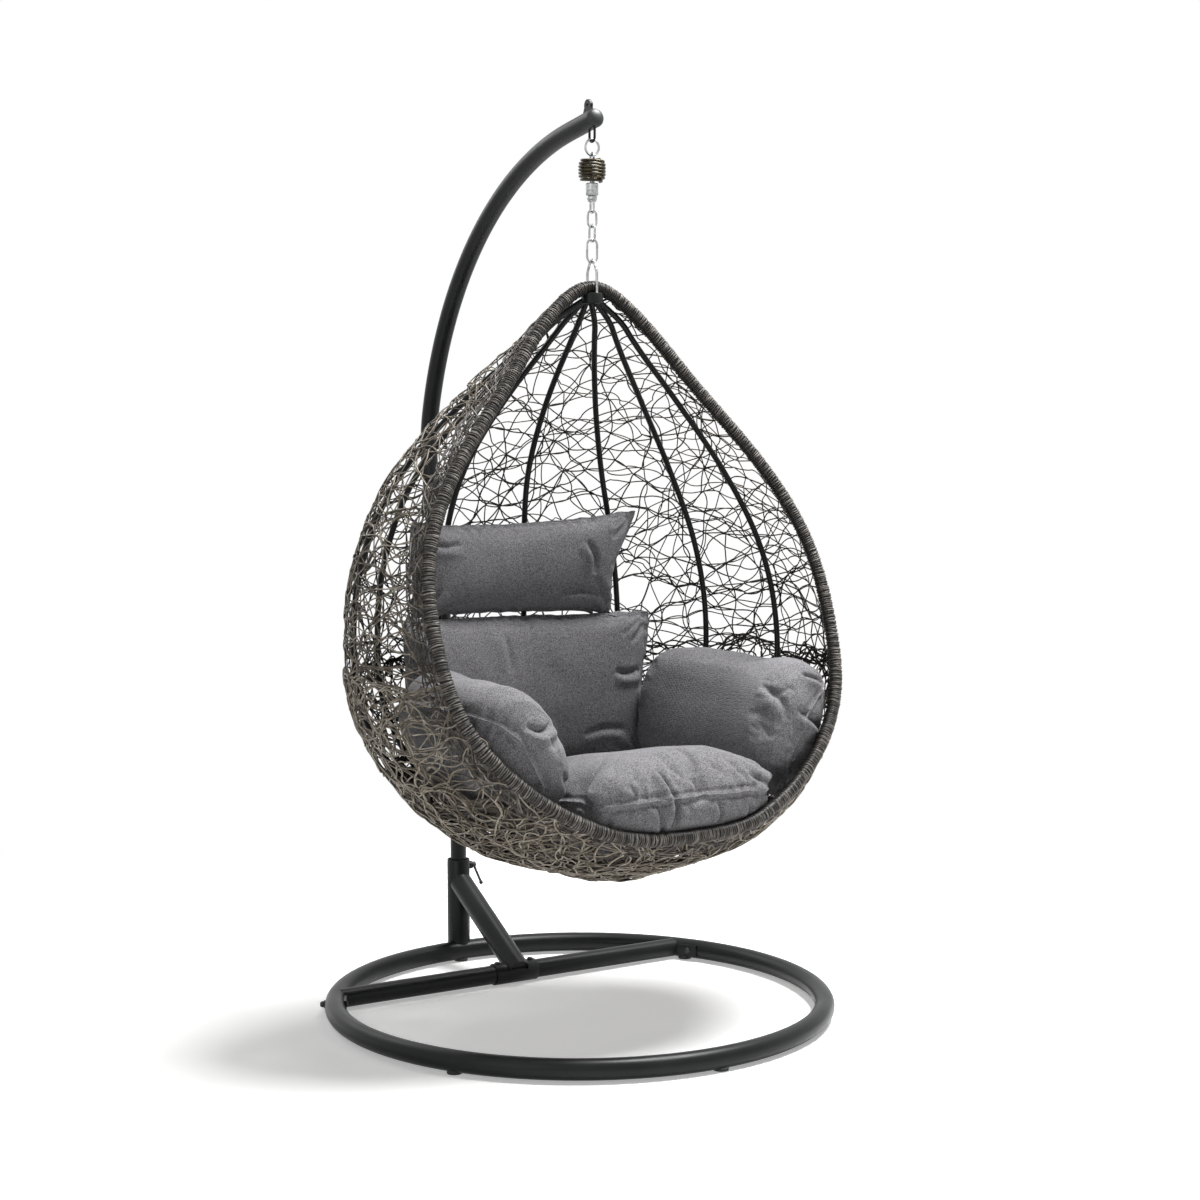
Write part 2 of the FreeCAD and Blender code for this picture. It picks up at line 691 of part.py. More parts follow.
def rim_y(height):
    drop = RIM_TOP + 12.0 - height
    return 6.0 - RIM_LEAN * drop - drop * drop / RIM_CURVE


def skin_wire(height, half_width, half_depth, centre, reach):
    # The skin behind the rim's face at one height, closed by a straight front
    front = max(rim_y(height) - reach, centre - 0.995 * half_depth)
    first = asin(max(-0.999, min(0.9, (front - centre) / half_depth)))
    points = []
    for i in range(SKIN_STEPS + 1):
        turn = first + (pi - 2 * first) * i / SKIN_STEPS
        points.append(hang(half_width * cos(turn), centre + half_depth * sin(turn), height))
    return points


def skin_solid(inset, reach):
    wires = []
    for height in SKIN_HEIGHTS:
        z, half_width, half_depth, centre = inner_at(height, inset)
        if inset and height == SKIN_HEIGHTS[-1]:
            z += 3 * inset
        wires.append(skin_wire(z, half_width, half_depth, centre, reach))
    return loft(wires)


def wicker_shell():
    shell = skin_solid(0.0, 0.0).cut(skin_solid(SKIN_THICK, 60.0))
    return largest(largest(shell).cut(rim_hoop()))


def rim_half_width(height):
    # Where the rim's face meets the middle of the skin
    half_width, half_depth, centre = skin_at(height)
    share = (rim_y(height) - centre) / half_depth
    return (half_width - RIM_TUBE / 4) * sqrt(max(0.0, 1 - share * share))


def rim_stations():
    # From the apex down the right side to the foot, then mirrored up the left side
    heights = (1440.0, 1300.0, 1140.0, 960.0, 800.0, 660.0, 550.0, 475.0, 442.0)
    right = [hang(rim_half_width(h), rim_y(h), h) for h in heights]
    apex, foot = hang(0, 0, RIM_TOP), hang(0, rim_y(RIM_BOTTOM), RIM_BOTTOM)
    left = [V(-p.x, p.y, p.z) for p in reversed(right)]
    curve = Part.BSplineCurve()
    curve.interpolate(Points=[apex] + right + [foot] + left, PeriodicFlag=True)
    half = curve.length() / 2
    spots = [0.0]
    while spots[-1] < half - 20:
        p = curve.parameterAtDistance(spots[-1] + 1.0)
        spots.append(spots[-1] + max(12.0, min(52.0, 0.24 / max(curve.curvature(p), 1e-4))))
    spots = [s * half / spots[-1] for s in spots]
    found = []
    for s in spots:
        p = curve.parameterAtDistance(s)
        found.append((curve.value(p), V(*curve.tangent(p)[0])))
    mirrored = [(V(-p.x, p.y, p.z), V(t.x, -t.y, -t.z)) for p, t in reversed(found[1:-1])]
    return found + mirrored


def rim_hoop(clearance=0.0):
    return bar(rim_stations(), RIM_TUBE / 2 + clearance, Y_AXIS, RIM_SIDES, True)


def rib_spot(angle, height):
    z, half_width, half_depth, centre = inner_at(height, RIB_INSET)
    turn = radians(angle)
    return hang(half_width * sin(turn), centre + half_depth * cos(turn), z)


def running_stations(points):
    # Each tangent follows the points on both sides
    found = []
    for i, p in enumerate(points):
        before, after = points[max(i - 1, 0)], points[min(i + 1, len(points) - 1)]
        found.append((p, (after - before).normalize()))
    return found


def rib(angle):
    out = V(sin(radians(angle)), cos(radians(angle)), 0)
    top = hang(0, 0, HUB_Z + RIB_PINCH + 1) + out * (HUB_RADIUS * 0.9)
    low = hang(0, SKIN[0][3], FOOT_HUB_Z + RIB_WIDTH * 0.4) + out * (FOOT_HUB_RADIUS * 0.9)
    points = [top] + [rib_spot(angle, h) for h in reversed(SKIN_HEIGHTS[3:-2])] + [low]
    bent = pinched_bar(running_stations(points), RIB_WIDTH / 2, RIB_PINCH, out.cross(Z_AXIS), RIB_SIDES)
    return largest(bent.cut(top_hub()).cut(foot_hub()))


def front_rib():
    out = V(0, -1, 0)
    low = hang(0, SKIN[0][3], FOOT_HUB_Z + RIB_WIDTH * 0.4) + out * (FOOT_HUB_RADIUS * 0.9)
    end = hang(0, rim_y(RIM_BOTTOM) + 11, RIM_BOTTOM + 10)
    points = [low] + [rib_spot(180.0, h) for h in (360, 380)] + [end]
    bent = bar(running_stations(points), RIB_WIDTH / 2, X_AXIS, RIB_SIDES)
    return largest(bent.cut(rim_hoop()).cut(foot_hub()))


def top_hub():
    rings = [(HUB_RADIUS, 0), (HUB_RADIUS, HUB_THICK - 3), (HUB_RADIUS - 3, HUB_THICK)]
    return largest(turned(rings, hang(0, 0, HUB_Z), Z_AXIS, TUBE_SIDES).cut(rim_hoop()))


def foot_hub():
    rings = [(FOOT_HUB_RADIUS - 2, 0), (FOOT_HUB_RADIUS, 2), (FOOT_HUB_RADIUS, FOOT_HUB_THICK)]
    return turned(rings, hang(0, SKIN[0][3], FOOT_HUB_Z), Z_AXIS, TUBE_SIDES)


# Cushions

def round_off(angle, power):
    # How far a soft rectangle's edge lies out along an angle, for half sides of 1
    return (abs(cos(angle)) ** power + abs(sin(angle)) ** power) ** (-1 / power)


def seat_ring(height, half_width, front, back):
    middle, half_depth = (front + back) / 2, (back - front) / 2
    points = []
    for i in range(SEAT_POINTS):
        turn = 2 * pi * i / SEAT_POINTS
        reach = round_off(turn, 3.2)
        x, y = half_width * cos(turn) * reach, middle + half_depth * sin(turn) * reach
        points.append(hang(x, y, height))
    return points


def seat_cushion():
    # A crowned box cushion that swells over the rim and is drawn in along its seam
    rings = [(385, 115, -235, 70), (412, 195, -288, 120), (446, 242, -324, 140), (476, 262, -356, 150),
             (497, 254, -351, 145), (520, 264, -358, 152), (552, 258, -345, 148), (574, 215, -300, 118),
             (584, 130, -200, 50)]
    return largest(loft([seat_ring(*ring) for ring in rings]).cut(rim_hoop(CUSHION_REST)))


def wall_pad(low, high, middle_x, half_width, flare, thick):
    # A stuffed pad that leans on the back of the basket, thin at its seam and fat in its middle
    rings = []
    for share in (0.0, 0.06, 0.2, 0.4, 0.6, 0.8, 0.94, 1.0):
        height = low + (high - low) * share
        fat = 0.16 + 0.84 * sin(pi * share) ** 0.6
        width = half_width + flare * abs(2 * share - 1) ** 2
        _, wall_width, wall_depth, centre = inner_at(height, CUSHION_GAP)
        front, back = [], []
        for i in range(PAD_POINTS):
            across = sin(pi * (i / (PAD_POINTS - 1) - 0.5))
            x = middle_x + width * across
            wall = centre + wall_depth * sqrt(1 - (x / wall_width) ** 2)
            half = thick / 2 * fat * (0.16 + 0.84 * (1 - across ** 4) ** 0.5)
            back.append(hang(x, wall - thick / 2 + half, height))
            front.append(hang(x, wall - thick / 2 - half, height))
        rings.append(front + back[::-1])
    return loft(rings)


def arm_cushion(side):
    # A bolster that follows the wall of the basket from beside the back to the rim
    rings = []
    sizes = ((0, 0.45), (0.05, 0.8), (0.2, 1), (0.4, 1), (0.6, 1), (0.8, 1), (0.95, 0.82), (1, 0.5))
    for share, size in sizes:
        along = radians(ARM_BACK + (ARM_FRONT - ARM_BACK) * share)
        ring = []
        for i in range(ARM_POINTS):
            turn = 2 * pi * i / ARM_POINTS
            reach = round_off(turn, 2.6) * size
            height = ARM_MIDDLE_Z + ARM_HALF_HEIGHT * sin(turn) * reach
            inset = CUSHION_GAP + ARM_THICK / 2 * (1 - cos(turn) * reach)
            half_width, half_depth, centre = skin_at(height)
            ring.append(hang(side * (half_width - inset) * cos(along),
                             centre + (half_depth - inset) * sin(along), height))
        rings.append(ring)
    return loft(rings)


def build():
    nodes = {
        "base_ring": base_ring(),
        "foot_pads": foot_pads(),
        "crossbar": crossbar(),
        "crossbar_bolts": crossbar_bolts(),
        "crossbar_nuts": crossbar_nuts(),
        "post_socket": post_socket(),
        "socket_bushes": socket_bushes(),
        "brace": brace(),
        "brace_screws": brace_screws(),
        "clamp_lever": clamp_lever(),
        "arm_lower": arm_lower(),
        "arm_upper": arm_upper(),
        "arm_joint_bolt": arm_joint_bolt(),
        "arm_cap": arm_cap(),
        "top_lug": top_lug(),
        "hanging_staple": hanging_staple(),
        "hanger_ring": hanger_ring(),
        "spring_top_eye": spring_top_eye(),
        "spring": spring(),
        "swivel_body": swivel_body(),
        "swivel_eye": swivel_eye(),
        "swivel_collar": swivel_collar(),
        "chain_link_1": chain_link(LINK_LENGTH, LINK_WIDTH, hang(0, 0, LINK_1_Z), Y_AXIS),
        "chain_link_2": chain_link(LINK_LENGTH, LINK_WIDTH, hang(0, 0, LINK_2_Z), X_AXIS),
        "hanging_link": chain_link(LONG_LINK_LENGTH, LONG_LINK_WIDTH, hang(0, 0, LONG_LINK_Z), Y_AXIS),
        "basket_loop": basket_loop(),
        "top_hub": top_hub(),
        "foot_hub": foot_hub(),
        "rim_hoop": rim_hoop(),
        "wicker_shell": wicker_shell(),
        "front_rib": front_rib(),
        "seat_cushion": seat_cushion(),
        "back_cushion": wall_pad(592.0, 820.0, -20.0, 262.0, 4.0, 128.0),
        "head_pillow": wall_pad(826.0, 1024.0, -34.0, 212.0, 18.0, 100.0),
        "arm_cushion_right": arm_cushion(1),
        "arm_cushion_left": arm_cushion(-1),
    }
    for number, angle in enumerate(RIB_ANGLES, 1):
        nodes["rib_%d" % number] = rib(angle)
    return nodes


def middle_y(nodes):
    low = min(shape.BoundBox.YMin for shape in nodes.values())
    high = max(shape.BoundBox.YMax for shape in nodes.values())
    return (low + high) / 2


def main():
    os.makedirs("parts", exist_ok=True)
    nodes = build()
    shift = -middle_y(nodes)
    print("origin: under the middle of the chair, %.3f mm behind the ring's centre" % -shift)
    for name, shape in nodes.items():
        shape.translate(V(0, shift, 0))
        shape.exportStep(os.path.join("parts", name + ".step"))
        facts = (name, len(shape.Solids), shape.isValid(), shape.Volume)
        print("%s: %d solids, valid %s, %.0f mm3" % facts)


main()
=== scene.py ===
from math import asin, atan2, cos, hypot, pi, radians, sin, sqrt, tan

import bpy
import bmesh
import numpy as np
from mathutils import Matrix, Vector


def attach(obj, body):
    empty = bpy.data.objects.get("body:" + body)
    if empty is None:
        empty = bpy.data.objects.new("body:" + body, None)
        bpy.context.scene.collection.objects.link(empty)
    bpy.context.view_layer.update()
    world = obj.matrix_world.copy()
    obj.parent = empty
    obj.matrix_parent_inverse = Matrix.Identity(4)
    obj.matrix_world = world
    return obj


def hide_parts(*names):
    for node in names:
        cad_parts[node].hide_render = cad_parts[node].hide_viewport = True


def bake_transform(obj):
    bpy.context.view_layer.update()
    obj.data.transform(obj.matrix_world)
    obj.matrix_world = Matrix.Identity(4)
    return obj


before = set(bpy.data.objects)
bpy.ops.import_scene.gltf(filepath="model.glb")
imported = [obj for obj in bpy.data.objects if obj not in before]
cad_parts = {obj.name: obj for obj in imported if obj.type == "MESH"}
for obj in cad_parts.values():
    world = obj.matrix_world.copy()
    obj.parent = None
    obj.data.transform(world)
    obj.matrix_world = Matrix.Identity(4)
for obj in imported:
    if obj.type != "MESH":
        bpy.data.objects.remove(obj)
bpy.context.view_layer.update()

# A hanging egg chair. Sizes are in millimetres from the centre of the base ring, with +Z up and +Y to the
# post, and spot() turns them into the model's metres. hang() takes them from the line the basket hangs on.

frameShift = 66.138  # the model's origin lies this far behind the ring's centre
hangY = -48.0
axisX, axisY, axisZ = Vector((1, 0, 0)), Vector((0, 1, 0)), Vector((0, 0, 1))


def spot(x, y, z):
    return Vector((x, y - frameShift, z)) / 1000


def hang(x, y, z):
    return Vector((x, hangY + y, z))  # millimetres, from the hanging line


# Small helpers for nodes, materials and meshes

def linear(code):
    parts = [int(code[i:i + 2], 16) / 255 for i in (1, 3, 5)]
    return [c / 12.92 if c <= 0.04045 else ((c + 0.055) / 1.055) ** 2.4 for c in parts] + [1.0]


def addNode(tree, kind, settings=None, links=None):
    node = tree.nodes.new(kind)
    for key, value in (settings or {}).items():
        if key == "stops":
            elements = node.color_ramp.elements
            while len(elements) < len(value):
                elements.new(0.5)
            for element, (position, code) in zip(elements, value):
                element.position, element.color = position, linear(code)
        elif isinstance(key, str) and hasattr(node, key):
            setattr(node, key, value)
        else:
            node.inputs[key].default_value = value
    for key, source in (links or {}).items():
        tree.links.new(source, node.inputs[key])
    return node


def newMaterial(name):
    material = bpy.data.materials.new(name)
    material.use_nodes = True
    material.node_tree.nodes.clear()
    return material, material.node_tree


def newPiece(name, mesh, material, body, slot, *nodes):
    # A finished piece; one without a body is left unattached
    piece = bpy.data.objects.new(name, mesh)
    bpy.context.scene.collection.objects.link(piece)
    if material:
        mesh.materials.clear()
        mesh.materials.append(material)
    if body:
        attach(piece, body)
    if nodes:
        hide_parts(*nodes)
    return piece


def meshOf(name, points, faces, sharpAngle=40):
    mesh = bpy.data.meshes.new(name)
    mesh.from_pydata([tuple(p) for p in points], [], faces)
    mesh.validate()
    mesh.shade_smooth()
    mesh.set_sharp_from_angle(angle=radians(sharpAngle))
    return mesh


def joinMeshes(name, meshes):
    joined = bmesh.new()
    for mesh in meshes:
        joined.from_mesh(mesh)
    result = bpy.data.meshes.new(name)
    joined.to_mesh(result)
    joined.free()
    result.shade_smooth()
    result.set_sharp_from_angle(angle=radians(40))
    return result


# Geometry Nodes: a tube swept along lines, and one oval turn of strand set on many points

def groupSocket(tree, name, kind, way="INPUT", value=None):
    socket = tree.interface.new_socket(name=name, in_out=way, socket_type=kind)
    if value is not None:
        socket.default_value = value


def sweepTree():
    # A tube along each line, which knows how far along, how far round and how far out of the basket it is
    tree = bpy.data.node_groups.new("tubeAlongLines", "GeometryNodeTree")
    groupSocket(tree, "Lines", "NodeSocketGeometry")
    groupSocket(tree, "Radius", "NodeSocketFloat", value=0.002)
    groupSocket(tree, "Sides", "NodeSocketInt", value=6)
    groupSocket(tree, "Flatness", "NodeSocketFloat", value=1.0)
    groupSocket(tree, "Material", "NodeSocketMaterial")
    groupSocket(tree, "Tubes", "NodeSocketGeometry", "OUTPUT")
    given = addNode(tree, "NodeGroupInput").outputs
    lines = addNode(tree, "GeometryNodeMeshToCurve", None, {"Mesh": given["Lines"]})
    length = addNode(tree, "GeometryNodeSplineParameter")
    marked = addNode(tree, "GeometryNodeStoreNamedAttribute",
                     {"data_type": "FLOAT", "domain": "POINT", "Name": "along"},
                     {"Geometry": lines.outputs[0], "Value": length.outputs["Length"]})
    ring = addNode(tree, "GeometryNodeCurvePrimitiveCircle", None,
                   {"Resolution": given["Sides"], "Radius": given["Radius"]})
    scale = addNode(tree, "ShaderNodeCombineXYZ", {"X": 1.0, "Z": 1.0}, {"Y": given["Flatness"]})
    oval = addNode(tree, "GeometryNodeTransform", None,
                   {"Geometry": ring.outputs[0], "Scale": scale.outputs[0]})
    turn = addNode(tree, "GeometryNodeSplineParameter")
    around = addNode(tree, "GeometryNodeStoreNamedAttribute",
                     {"data_type": "FLOAT", "domain": "POINT", "Name": "around"},
                     {"Geometry": oval.outputs[0], "Value": turn.outputs["Factor"]})
    girth = addNode(tree, "GeometryNodeInputNamedAttribute", {"data_type": "FLOAT", "Name": "girth"})
    swept = addNode(tree, "GeometryNodeCurveToMesh", {"Fill Caps": True},
                    {"Curve": marked.outputs[0], "Profile Curve": around.outputs[0],
                     "Scale": girth.outputs[0]})
    # facing says how much each face looks out of the basket; the rattan finish uses it for painted shade on
    # the inside
    normal = addNode(tree, "GeometryNodeInputNormal")
    outward = addNode(tree, "GeometryNodeInputNamedAttribute",
                      {"data_type": "FLOAT_VECTOR", "Name": "outward"})
    facing = addNode(tree, "ShaderNodeVectorMath", {"operation": "DOT_PRODUCT"},
                     {0: normal.outputs[0], 1: outward.outputs[0]})
    faced = addNode(tree, "GeometryNodeStoreNamedAttribute",
                    {"data_type": "FLOAT", "domain": "POINT", "Name": "facing"},
                    {"Geometry": swept.outputs[0], "Value": facing.outputs["Value"]})
    smooth = addNode(tree, "GeometryNodeSetShadeSmooth", {"Shade Smooth": True},
                     {"Geometry": faced.outputs[0]})
    solid = addNode(tree, "GeometryNodeRealizeInstances", None, {"Geometry": smooth.outputs[0]})
    painted = addNode(tree, "GeometryNodeSetMaterial", None,
                      {"Geometry": solid.outputs[0], "Material": given["Material"]})
    addNode(tree, "NodeGroupOutput", None, {"Tubes": painted.outputs[0]})
    return tree


def turnsTree():
    # One oval turn of strand on each point, square to the line it goes round, slightly tilted and resized
    tree = bpy.data.node_groups.new("turnsOnPoints", "GeometryNodeTree")
    groupSocket(tree, "Points", "NodeSocketGeometry")
    groupSocket(tree, "Strand", "NodeSocketFloat", value=0.002)
    groupSocket(tree, "Half Width", "NodeSocketFloat", value=0.017)
    groupSocket(tree, "Half Depth", "NodeSocketFloat", value=0.013)
    groupSocket(tree, "Tilt", "NodeSocketFloat", value=0.15)
    groupSocket(tree, "Uneven", "NodeSocketFloat", value=0.04)
    groupSocket(tree, "Darkest", "NodeSocketFloat", value=0.0)
    groupSocket(tree, "Lightest", "NodeSocketFloat", value=1.0)
    groupSocket(tree, "Seed", "NodeSocketInt", value=3)
    groupSocket(tree, "Steps", "NodeSocketInt", value=16)
    groupSocket(tree, "Material", "NodeSocketMaterial")
    groupSocket(tree, "Turns", "NodeSocketGeometry", "OUTPUT")
    given = addNode(tree, "NodeGroupInput").outputs
    rail = addNode(tree, "GeometryNodeCurvePrimitiveCircle", {"Radius": 1.0}, {"Resolution": given["Steps"]})
    size = addNode(tree, "ShaderNodeCombineXYZ", {"Z": 1.0},
                   {"X": given["Half Width"], "Y": given["Half Depth"]})
    oval = addNode(tree, "GeometryNodeTransform", None,
                   {"Geometry": rail.outputs[0], "Scale": size.outputs[0]})
    strand = addNode(tree, "GeometryNodeCurvePrimitiveCircle", {"Resolution": 5},
                     {"Radius": given["Strand"]})
    turn = addNode(tree, "GeometryNodeCurveToMesh", None,
                   {"Curve": oval.outputs[0], "Profile Curve": strand.outputs[0]})
    along = addNode(tree, "GeometryNodeInputNamedAttribute",
                    {"data_type": "FLOAT_VECTOR", "Name": "lineWay"})
    outward = addNode(tree, "GeometryNodeInputNamedAttribute",
                      {"data_type": "FLOAT_VECTOR", "Name": "outward"})
    square = addNode(tree, "FunctionNodeAxesToRotation", {"primary_axis": "Z", "secondary_axis": "Y"},
                     {"Primary Axis": along.outputs[0], "Secondary Axis": outward.outputs[0]})
    least = addNode(tree, "ShaderNodeMath", {"operation": "MULTIPLY", 1: -1.0}, {0: given["Tilt"]})
    low = addNode(tree, "ShaderNodeCombineXYZ", None, {"X": least.outputs[0], "Y": least.outputs[0]})
    high = addNode(tree, "ShaderNodeCombineXYZ", None, {"X": given["Tilt"], "Y": given["Tilt"]})
    tilt = addNode(tree, "FunctionNodeRandomValue", {"data_type": "FLOAT_VECTOR"},
                   {"Min": low.outputs[0], "Max": high.outputs[0], "Seed": given["Seed"]})
    lean = addNode(tree, "FunctionNodeEulerToRotation", None, {"Euler": tilt.outputs[0]})
    turned = addNode(tree, "FunctionNodeRotateRotation", {"rotation_space": "LOCAL"},
                     {"Rotation": square.outputs[0], "Rotate By": lean.outputs[0]})
    small = addNode(tree, "ShaderNodeMath", {"operation": "SUBTRACT", 0: 1.0}, {1: given["Uneven"]})
    large = addNode(tree, "ShaderNodeMath", {"operation": "ADD", 0: 1.0}, {1: given["Uneven"]})
    resize = addNode(tree, "FunctionNodeRandomValue", {"data_type": "FLOAT"},
                     {2: small.outputs[0], 3: large.outputs[0], "Seed": given["Seed"]})
    placed = addNode(tree, "GeometryNodeInstanceOnPoints", None,
                     {"Points": given["Points"], "Instance": turn.outputs[0], "Rotation": turned.outputs[0],
                      "Scale": resize.outputs[1]})
    shade = addNode(tree, "FunctionNodeRandomValue", {"data_type": "FLOAT"},
                    {2: given["Darkest"], 3: given["Lightest"], "Seed": given["Seed"]})
    tinted = addNode(tree, "GeometryNodeStoreNamedAttribute",
                     {"data_type": "FLOAT", "domain": "INSTANCE", "Name": "tint"},
                     {"Geometry": placed.outputs[0], "Value": shade.outputs[1]})
    solid = addNode(tree, "GeometryNodeRealizeInstances", None, {"Geometry": tinted.outputs[0]})
    smooth = addNode(tree, "GeometryNodeSetShadeSmooth", {"Shade Smooth": True},
                     {"Geometry": solid.outputs[0]})
    painted = addNode(tree, "GeometryNodeSetMaterial", None,
                      {"Geometry": smooth.outputs[0], "Material": given["Material"]})
    addNode(tree, "NodeGroupOutput", None, {"Turns": painted.outputs[0]})
    return tree


def runTree(name, mesh, tree, values):
    # Evaluates a tree on a mesh once and returns the plain mesh it makes
    holder = bpy.data.objects.new(name, mesh)
    bpy.context.scene.collection.objects.link(holder)
    modifier = holder.modifiers.new("nodes", "NODES")
    modifier.node_group = tree
    for item in tree.interface.items_tree:
        if item.item_type == "SOCKET" and item.in_out == "INPUT" and item.name in values:
            modifier[item.identifier] = values[item.name]
    holder.update_tag()
    seen = holder.evaluated_get(bpy.context.evaluated_depsgraph_get())
    made = bpy.data.meshes.new_from_object(seen)
    made.name = name
    bpy.data.objects.remove(holder)
    return made


tubeTree, wrapTree = sweepTree(), turnsTree()


def lineMesh(name, lines, closed=False, **attributes):
    # Lines of points in metres as a mesh of edges, with one value per point for each attribute
    points, edges = [], []
    for line in lines:
        first = len(points)
        points += [tuple(p) for p in line]
        edges += [(first + i, first + i + 1) for i in range(len(line) - 1)]
        if closed:
            edges.append((first + len(line) - 1, first))
    mesh = bpy.data.meshes.new(name)
    mesh.from_pydata(points, edges, [])
    attributes.setdefault("girth", np.ones(len(points)))
    for key, values in attributes.items():
        values = np.asarray(values, np.float32)
        kind, field = ("FLOAT_VECTOR", "vector") if values.ndim == 2 else ("FLOAT", "value")
        mesh.attributes.new(key, kind, "POINT").data.foreach_set(field, values.ravel())
    return mesh


def tube(name, lines, radius, material, sides=24, closed=False, flatness=1.0, **attributes):
    mesh = lineMesh(name, lines, closed, **attributes)
    made = runTree(name, mesh, tubeTree,
                   {"Radius": radius / 1000, "Sides": sides, "Flatness": flatness, "Material": material})
    made.set_sharp_from_angle(angle=radians(50))
    return made


def route(start, heading, across, moves, step=6.0):
    # Walks straight runs and bends in one plane: numbers go ahead, (degrees, radius) pairs turn
    point, way = Vector(start), Vector(heading).normalized()
    found = [point.copy()]
    for move in moves:
        if isinstance(move, tuple):
            degrees, radius = move
            count = max(2, round(abs(degrees) / step))
            turn = radians(abs(degrees)) / count
            for _ in range(count):
                side = across.cross(way) * (1 if degrees > 0 else -1)
                point = point + way * (radius * sin(turn)) + side * (radius * (1 - cos(turn)))
                way = (way * cos(turn) + side * sin(turn)).normalized()
                found.append(point.copy())
        else:
            point = point + way * move
            found.append(point.copy())
    return found, way


def metres(points):
    return [spot(*p) for p in points]


def hung(points):
    return [spot(x, hangY + y, z) for x, y, z in points]


def unit(rows):
    return rows / np.linalg.norm(rows, axis=1, keepdims=True)


def turned(name, outline, base, axis, sides=32, sharpAngle=35):
    # A turned piece: (radius, height) pairs along an axis, closed at both ends
    axis = Vector(axis).normalized()
    side = axis.orthogonal().normalized()
    other = axis.cross(side)
    points, faces = [], []
    for radius, height in outline:
        for i in range(sides):
            turn = 2 * pi * i / sides
            across = side * (radius * cos(turn)) + other * (radius * sin(turn))
            points.append(spot(*(base + axis * height + across)))
    for ring in range(len(outline) - 1):
        for i in range(sides):
            j = (i + 1) % sides
            faces.append((ring * sides + i, ring * sides + j, (ring + 1) * sides + j,
                          (ring + 1) * sides + i))
    faces.append(tuple(reversed(range(sides))))
    faces.append(tuple(range((len(outline) - 1) * sides, len(outline) * sides)))
    return meshOf(name, points, faces, sharpAngle)


# Camera, light and floor

view = {"lens": 72.18, "place": (-2586.3, -4137.0, 1319.8), "azimuth": 32.5, "down": 5.46}


def makeCamera():
    data = bpy.data.cameras.new("camera")
    data.sensor_width, data.lens = 36.0, view["lens"]
    data.clip_start, data.clip_end = 0.05, 100
    camera = bpy.data.objects.new("camera", data)
    bpy.context.scene.collection.objects.link(camera)
    camera.location = spot(*view["place"])
    turn, down = radians(view["azimuth"]), radians(view["down"])
    ahead = Vector((sin(turn) * cos(down), cos(turn) * cos(down), -sin(down)))
    camera.rotation_euler = ahead.to_track_quat("-Z", "Y").to_euler()
    bpy.context.scene.camera = camera


backdrop = {"colour": "#ffffff", "ambient": 0.065, "shown": 1.0}  # how strongly it lights, and how it's seen
lamps = {
    "keyLamp": {"place": (1250, -500, 4150), "aim": (0, 0, 800), "size": 2.0, "power": 325.0},
    "fillLamp": {"place": (-3400, -2000, 2200), "aim": (0, 0, 800), "size": 2.4, "power": 16.0},
    "backLamp": {"place": (-900, 3000, 2800), "aim": (0, 0, 900), "size": 2.0, "power": 22.0},
}


def makeLight():
    for name, lamp in lamps.items():
        data = bpy.data.lights.new(name, "AREA")
        data.shape, data.size, data.energy = "DISK", lamp["size"], lamp["power"]
        lamp3d = bpy.data.objects.new(name, data)
        bpy.context.scene.collection.objects.link(lamp3d)
        lamp3d.location = spot(*lamp["place"])
        lamp3d.rotation_euler = (spot(*lamp["aim"]) - lamp3d.location).to_track_quat("-Z", "Y").to_euler()
    world = bpy.data.worlds.new("studio")
    bpy.context.scene.world = world
    world.use_nodes = True
    tree = world.node_tree
    tree.nodes.clear()
    path = addNode(tree, "ShaderNodeLightPath")
    seen = addNode(tree, "ShaderNodeMath", {"operation": "MAXIMUM"},
                   {0: path.outputs["Is Camera Ray"], 1: path.outputs["Is Glossy Ray"]})
    through = addNode(tree, "ShaderNodeMath", {"operation": "MAXIMUM"},
                      {0: seen.outputs[0], 1: path.outputs["Is Transmission Ray"]})
    strength = addNode(tree, "ShaderNodeMapRange", {3: backdrop["ambient"], 4: backdrop["shown"]},
                       {0: through.outputs[0]})
    light = addNode(tree, "ShaderNodeBackground", {"Color": linear(backdrop["colour"])},
                    {"Strength": strength.outputs[0]})
    addNode(tree, "ShaderNodeOutputWorld", None, {"Surface": light.outputs[0]})


floorLook = {"reach": 30.0, "colour": "#f6f6f5", "glow": 0.36, "fadeFrom": 1.25, "fadeTo": 2.2}


